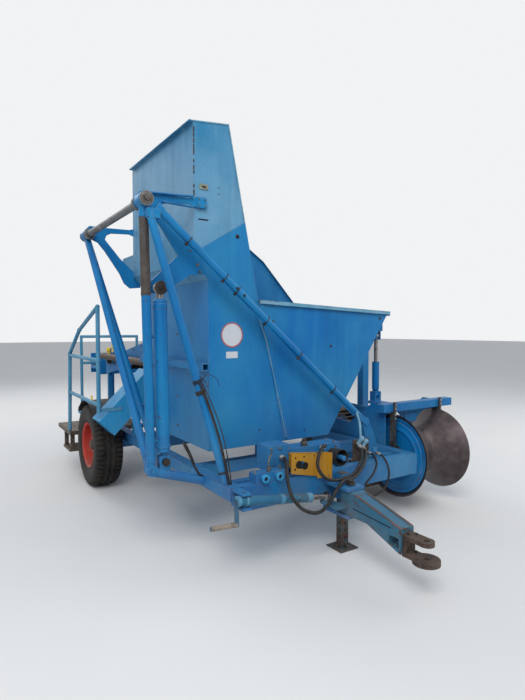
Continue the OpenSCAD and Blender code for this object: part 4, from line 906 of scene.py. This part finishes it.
def case_trim():
    """Filler, bolts and elbow on the gear case and the valves."""
    steel = Form()
    for low, high, r, sides in ((655, 684, 20, 6), (682, 694, 26, 20), (694, 712, 15, 20)):
        steel.stub(FILLER, UP, low, high, r, sides)
    for x, y in ((-660, -2108), (-660, -2022), (-270, -2108), (-270, -2022), (-470, -2022)):
        steel.bolt((x, y, CASE_TOP_Z), UP, 8, 6)
    for x, z in ((-640, 560), (-640, 635), (-270, 560), (-270, 640)):
        steel.bolt((x, CASE_FRONT_Y, z), FORWARD, 8, 6)
    for x in (-835, -770):
        for z in (575, 690):
            steel.bolt((x, VALVE_FRONT_Y, z), FORWARD, 8, 6)
    for x in (-995, -900, -808):
        steel.bolt((x, -2225, 580), UP, 8, 7)
    steel.rod((*ELBOW, 580), (*ELBOW, 604), 12, 6)
    elbow = [(*ELBOW, 600), (-905, -2238, 640), (-880, -2220, 668), (-850, -2190, 676)]
    steel.sweep(spline(elbow, 6), 6, 10)
    steel.make("gear_case_fittings", "chassis", "bright_steel", "dull_steel", bevel=0.6)


def strap_trim():
    """Pale straps and a bracket in front of the gear case, with their holes as painted shade."""
    straps, dots = Form(), Form()
    for a, b, drop in (((-470, 575), (-378, 540), 26), ((-422, 470), (-330, 440), 24)):
        straps.panel([a, b, (b[0] - 8, b[1] - drop), (a[0] - 8, a[1] - drop)], STRAP_Y, STRAP_T)
    straps.panel([(-8, 560), (28, 560), (96, 458), (-40, 458)], BRACKET_FRONT_Y, -STRAP_T)
    straps.make("front_straps", "chassis", "rail_blue", bevel=1.2)
    for x, z in ((-456, 560), (-394, 536), (-410, 456), (-350, 436)):
        dots.disc((x, STRAP_Y - 0.2, z), "Y", 6, 0.8, 16)
    for x in (-22, 78):
        dots.disc((x, BRACKET_FRONT_Y - STRAP_T - 0.2, 470), "Y", 7, 0.8, 16)
    # Dark discs of painted shade stand for the holes
    dots.make("strap_hole_shade", "chassis", "belt_rubber", "hole_shade_and_weld_dark")


def coupler_trim():
    """Two hose couplers, and the pipe from one of them to the long strut."""
    couplers = Form()
    for a, b in (((-80, -2150, 630), (-66, -2172, 668)), ((-40, -2150, 605), (-14, -2160, 640))):
        a, b = Vector(a), Vector(b)
        way = (b - a).normalized()
        couplers.rod(a, b, 15, 20)
        couplers.stub(b, way, 0, 16, 19, 20, 17)
        couplers.stub(b, way, 16, 24, 17, 20, 9)
    # Caps and return pipe in pale blue: faded paint, partly a painted highlight
    couplers.make("coupler_caps", "chassis", "rail_blue", "faded_and_highlight_blue", bevel=0.8)
    pipe = spline([(-66, -2168, 666), (-70, -2165, 725), (-60, -2150, 772), (-12, -2084, 800),
                   (58, -1992, 820), (110, -1946, 812)], 6)
    Form().sweep(pipe, 9, 12).make("strut_return_pipe", "chassis", "rail_blue", "faded_and_highlight_blue")


def spindle_trim():
    """Bands round the spindle's tube, and the wooden grip of its crank."""
    bands = Form()
    a, b = Vector((-1196, -2345, 476)), Vector((-530, -2345, 385))
    way = (b - a).normalized()
    for d, width in ((0, 26), (60, 14), (300, 30), (505, 38)):
        bands.stub(a, way, d, d + width, 30.5, 32)
    bands.make("spindle_bands", "spindle_tube", "rail_blue", bevel=1.2)
    grip = Form().rod((-1190, -2345, 341), (-1356, -2345, 350), 14.5, 20)
    grip.make("crank_grip", "spindle_tube", "bright_steel", "grip_wood", bevel=2.0)


guard_trim()
case_trim()
strap_trim()
coupler_trim()
spindle_trim()


# Drawbar and its parking jack
BAR_X, SIDE_X = -410, -465.0
BAR_FROM_Y, BAR_TO_Y = -2520, -2896
HINGE_Y, HINGE_TOP_Z = -2440, 470
JACK_X, JACK_Y, JACK_HALF = -355, -2300, 27


def drawbar_trim():
    """Weld beads, rusty top edges, and the nuts of the hinge, the tongues and the spindle."""
    seam = Form()
    for k in range(60):
        y = BAR_FROM_Y - k * 5.2
        seam.ball((SIDE_X - 0.5, y, 346 - 0.055 * (BAR_FROM_Y - y)), 2.6, 1.6, "Y")
    for k in range(26):
        seam.ball((SIDE_X + 22, BAR_TO_Y + 0.2 * (k % 2), 200 + k * 5.0), 2.4, 1.4)
    seam.make("drawbar_welds", "drawbar", "drawbar_worn", "hole_shade_and_weld_dark")
    top = Form()
    for x in (BAR_X - 46, BAR_X + 46):
        top.plate([(x - 8, BAR_FROM_Y - 12, 433), (x + 8, BAR_FROM_Y - 12, 433),
                   (x + 8, BAR_TO_Y, 342), (x - 8, BAR_TO_Y, 342)], UP, 4)
    top.make("drawbar_top_edges", "drawbar", "drawbar_worn", "edge_rust", bevel=1.2)
    nuts = Form()
    hinge = Vector((BAR_X, HINGE_Y, HINGE_TOP_Z))
    nuts.stub(hinge, UP, 0, 14, 31, 6)
    nuts.stub(hinge, UP, 14, 26, 17, 20)
    nuts.stub(hinge + Vector((0, 0, 20)), LEFT, -30, 30, 3, 8)
    for z in (316, 216):
        for x, y in ((BAR_X - 18, -2925), (BAR_X + 20, -2950)):
            nuts.bolt((x, y, z), UP, 8, 6)
    nuts.rod((-530, -2345, 402), (-530, -2345, 414), 17, 6)
    nuts.make("hinge_nuts", "drawbar", "worn_steel", "greasy_steel", bevel=1.0)


def jack_trim():
    """Holes of painted shade and gussets of the jack's leg, and the ring pin through its sleeve."""
    holes, gussets = Form(), Form()
    for z in range(75, 268, 48):
        holes.disc((JACK_X, JACK_Y - JACK_HALF - 0.6, z), "Y", 8, 0.3, 20)
        holes.disc((JACK_X - JACK_HALF - 0.6, JACK_Y, z), "X", 8, 0.3, 20)
    # Dark discs of painted shade stand for the holes
    holes.make("jack_hole_shade", "jack", "belt_rubber", "hole_shade_and_weld_dark")
    for sx, sy in ((1, 0), (-1, 0), (0, 1), (0, -1)):
        out, across = Vector((sx, sy, 0)), Vector((sy, sx, 0))
        a = Vector((JACK_X, JACK_Y, 8)) + out * JACK_HALF - across * 3
        gussets.plate([a, a + out * 36, a + Vector((0, 0, 42))], across, 6)
    gussets.make("jack_gussets", "jack", "worn_steel", bevel=1.0)
    pin = Form().rod((-410, JACK_Y, 402), (-300, JACK_Y, 402), 9, 16)
    pin.sweep([(-300, JACK_Y + y, 382 + z) for z, y in circle(18, 20)], 2.5, 6)
    pin.make("jack_pin", "chassis", "bright_steel", "dull_steel", bevel=0.8)


drawbar_trim()
jack_trim()


# Belts, tables and platform
TABLE_X, BELT_W = -900.0, 600.0
BELT_START, BELT_RUN = Vector((0, -480, 1330)), Vector((0, 1740, -310))
LEVERS = ((1160, 1215, 14), (980, 1262, -10), (1080, 1240, 0))
DECK_TOP_Z, STEP_TOP_Z = 439.6, 253.6


def belt_trim():
    """Ribs of the picking belt and the cross conveyor."""
    flights = Form()
    way = BELT_RUN.normalized()
    up = LEFT.cross(way)
    for k in range(14):
        for s in (-1, 1):
            at = BELT_START + way * (k * BELT_RUN.length / 14 + 60) + up * s * 44
            tip = up * s * 12
            a, b = at - way * 7, at + way * 7
            outline = [(TABLE_X + 22, p.y, p.z) for p in (a, b, b + tip * 0.8, a + tip)]
            flights.plate(outline, LEFT, BELT_W - 10)
    for x in range(-910, 1090, 100):
        flights.box((x, 1542, 999), (x + 14, 1928, 1011))
    flights.make("belt_flights", "chassis", "belt_rubber", bevel=1.5)


def table_trim():
    """Valve levers on the table, and bolts along its sides and on the conveyor."""
    levers, grips, bolts = Form(), Form(), Form()
    for y, z, lean in LEVERS:
        tip = Vector((-915, y + lean, z))
        levers.rod((-905, y, 1050), tip, 7, 12)
        if lean:
            grips.ball(tip, 26, 1.25)
            grips.rod(tip - Vector((0, 0, 60)), tip, 15, 14)
    levers.rod((-911, 960, 1150), (-911, 1190, 1110), 9, 12)
    levers.make("lever_rods", "chassis", "bright_steel", "dull_steel", bevel=0.6)
    grips.make("lever_grips", "chassis", "guard_yellow", "grip_yellow", bevel=2.0)
    for x, way in ((-901, RIGHT), (-263, LEFT)):
        for y in range(-470, 1091, 260):
            bolts.bolt((x, y, 1330 - (y + 540) * 320 / 1880 + 62), way, 7, 5)
    for k in range(9):
        bolts.bolt((-880 + 240 * k, 1530, 1120), FORWARD, 8, 6)
    bolts.make("side_bolts", "chassis", "bright_steel", "dull_steel", bevel=0.5)


def lozenges(form, xs, ys, z):
    """Raised lozenges of tread plate, turned by turns to either side."""
    for i, x in enumerate(xs):
        for j, y in enumerate(ys):
            t = math.radians(45 if (i + j) % 2 else -45)
            u = Vector((math.cos(t), math.sin(t), 0)) * 14
            v = Vector((-math.sin(t), math.cos(t), 0)) * 4
            c = Vector((x, y, z))
            form.plate([c - u, c + v, c + u, c - v], UP, 2.4)


def platform_trim():
    """Tread plate on deck and step, and the railing's reflector and joints."""
    tread = Form()
    lozenges(tread, range(-1500, -800, 42), range(445, 985, 42), DECK_TOP_Z)
    lozenges(tread, range(-1492, -1365, 42), range(475, 728, 42), STEP_TOP_Z)
    tread.make("deck_tread", "chassis", "web_steel")
    reflector = Form().disc((-1519, -463, 879), "X", 24, 4, 32)
    reflector.make("rail_reflector", "chassis", "guard_yellow", "grip_yellow", bevel=0.8)
    joints = Form()
    for y, z in ((-600, 1200), (-600, 830), (40, 1450), (450, 1200), (476, 830)):
        joints.ball((-1500, y, z), 21)
    joints.make("rail_joints", "chassis", "rail_blue")


belt_trim()
table_trim()
platform_trim()


# Floor, backdrop and light, in metres
FLOOR_HALF = 60.0
LIGHT, LIGHT_STRENGTH = (0.80, 0.86, 0.95, 1), 0.62
BACKDROP = (0.88, 0.89, 0.90, 1)


def stage():
    """The pale floor."""
    n = Nodes("floor")
    pale = n.mix(n.ramp(n.noise(0.8, 4), 0.3, 0.7), lin(218, 217, 214), lin(222, 221, 218))
    mesh = bpy.data.meshes.new("floor")
    s = FLOOR_HALF
    mesh.from_pydata([(-s, -s, 0), (s, -s, 0), (s, s, 0), (-s, s, 0)], [], [(0, 1, 2, 3)])
    mesh.materials.append(n.finish(pale, 0.9))
    floor = bpy.data.objects.new("floor", mesh)
    show(floor)


def surround():
    """Soft light from all round. What sees past the object, or mirrors, sees the backdrop."""
    world = bpy.data.worlds.new("world")
    bpy.context.scene.world = world
    world.use_nodes = True
    nodes, links = world.node_tree.nodes, world.node_tree.links
    nodes.clear()
    kinds = ("LightPath", "Math", "Math", "Background", "Background", "MixShader", "OutputWorld")
    rays, seen, shown, light, backdrop, mix, out = (nodes.new("ShaderNode" + k) for k in kinds)
    seen.operation = shown.operation = "MAXIMUM"
    for node, colour, strength in ((light, LIGHT, LIGHT_STRENGTH), (backdrop, BACKDROP, 1.0)):
        node.inputs["Color"].default_value = colour
        node.inputs["Strength"].default_value = strength
    links.new(rays.outputs["Is Camera Ray"], seen.inputs[0])
    links.new(rays.outputs["Is Transmission Ray"], seen.inputs[1])
    links.new(rays.outputs["Is Glossy Ray"], shown.inputs[0])
    links.new(seen.outputs[0], shown.inputs[1])
    for i, node in enumerate((shown, light, backdrop)):
        links.new(node.outputs[0], mix.inputs[i])
    links.new(mix.outputs[0], out.inputs["Surface"])


def lamp(name, place, aim, size, power):
    data = bpy.data.lights.new(name, "AREA")
    data.shape = "SQUARE"
    data.size = size
    data.energy = power
    obj = bpy.data.objects.new(name, data)
    obj.location = place
    obj.rotation_euler = (Vector(aim) - Vector(place)).to_track_quat("-Z", "Y").to_euler()
    show(obj)


stage()
surround()
lamp("key", (-4.5, -6.5, 7.0), (0, 0, 1.0), 5.0, 480)
lamp("fill", (6.5, -3.0, 4.5), (0, 0, 1.0), 5.0, 160)
lamp("back", (-2.0, 7.0, 6.5), (0, 0, 1.2), 5.0, 240)

bpy.context.scene.view_settings.view_transform = "Standard"
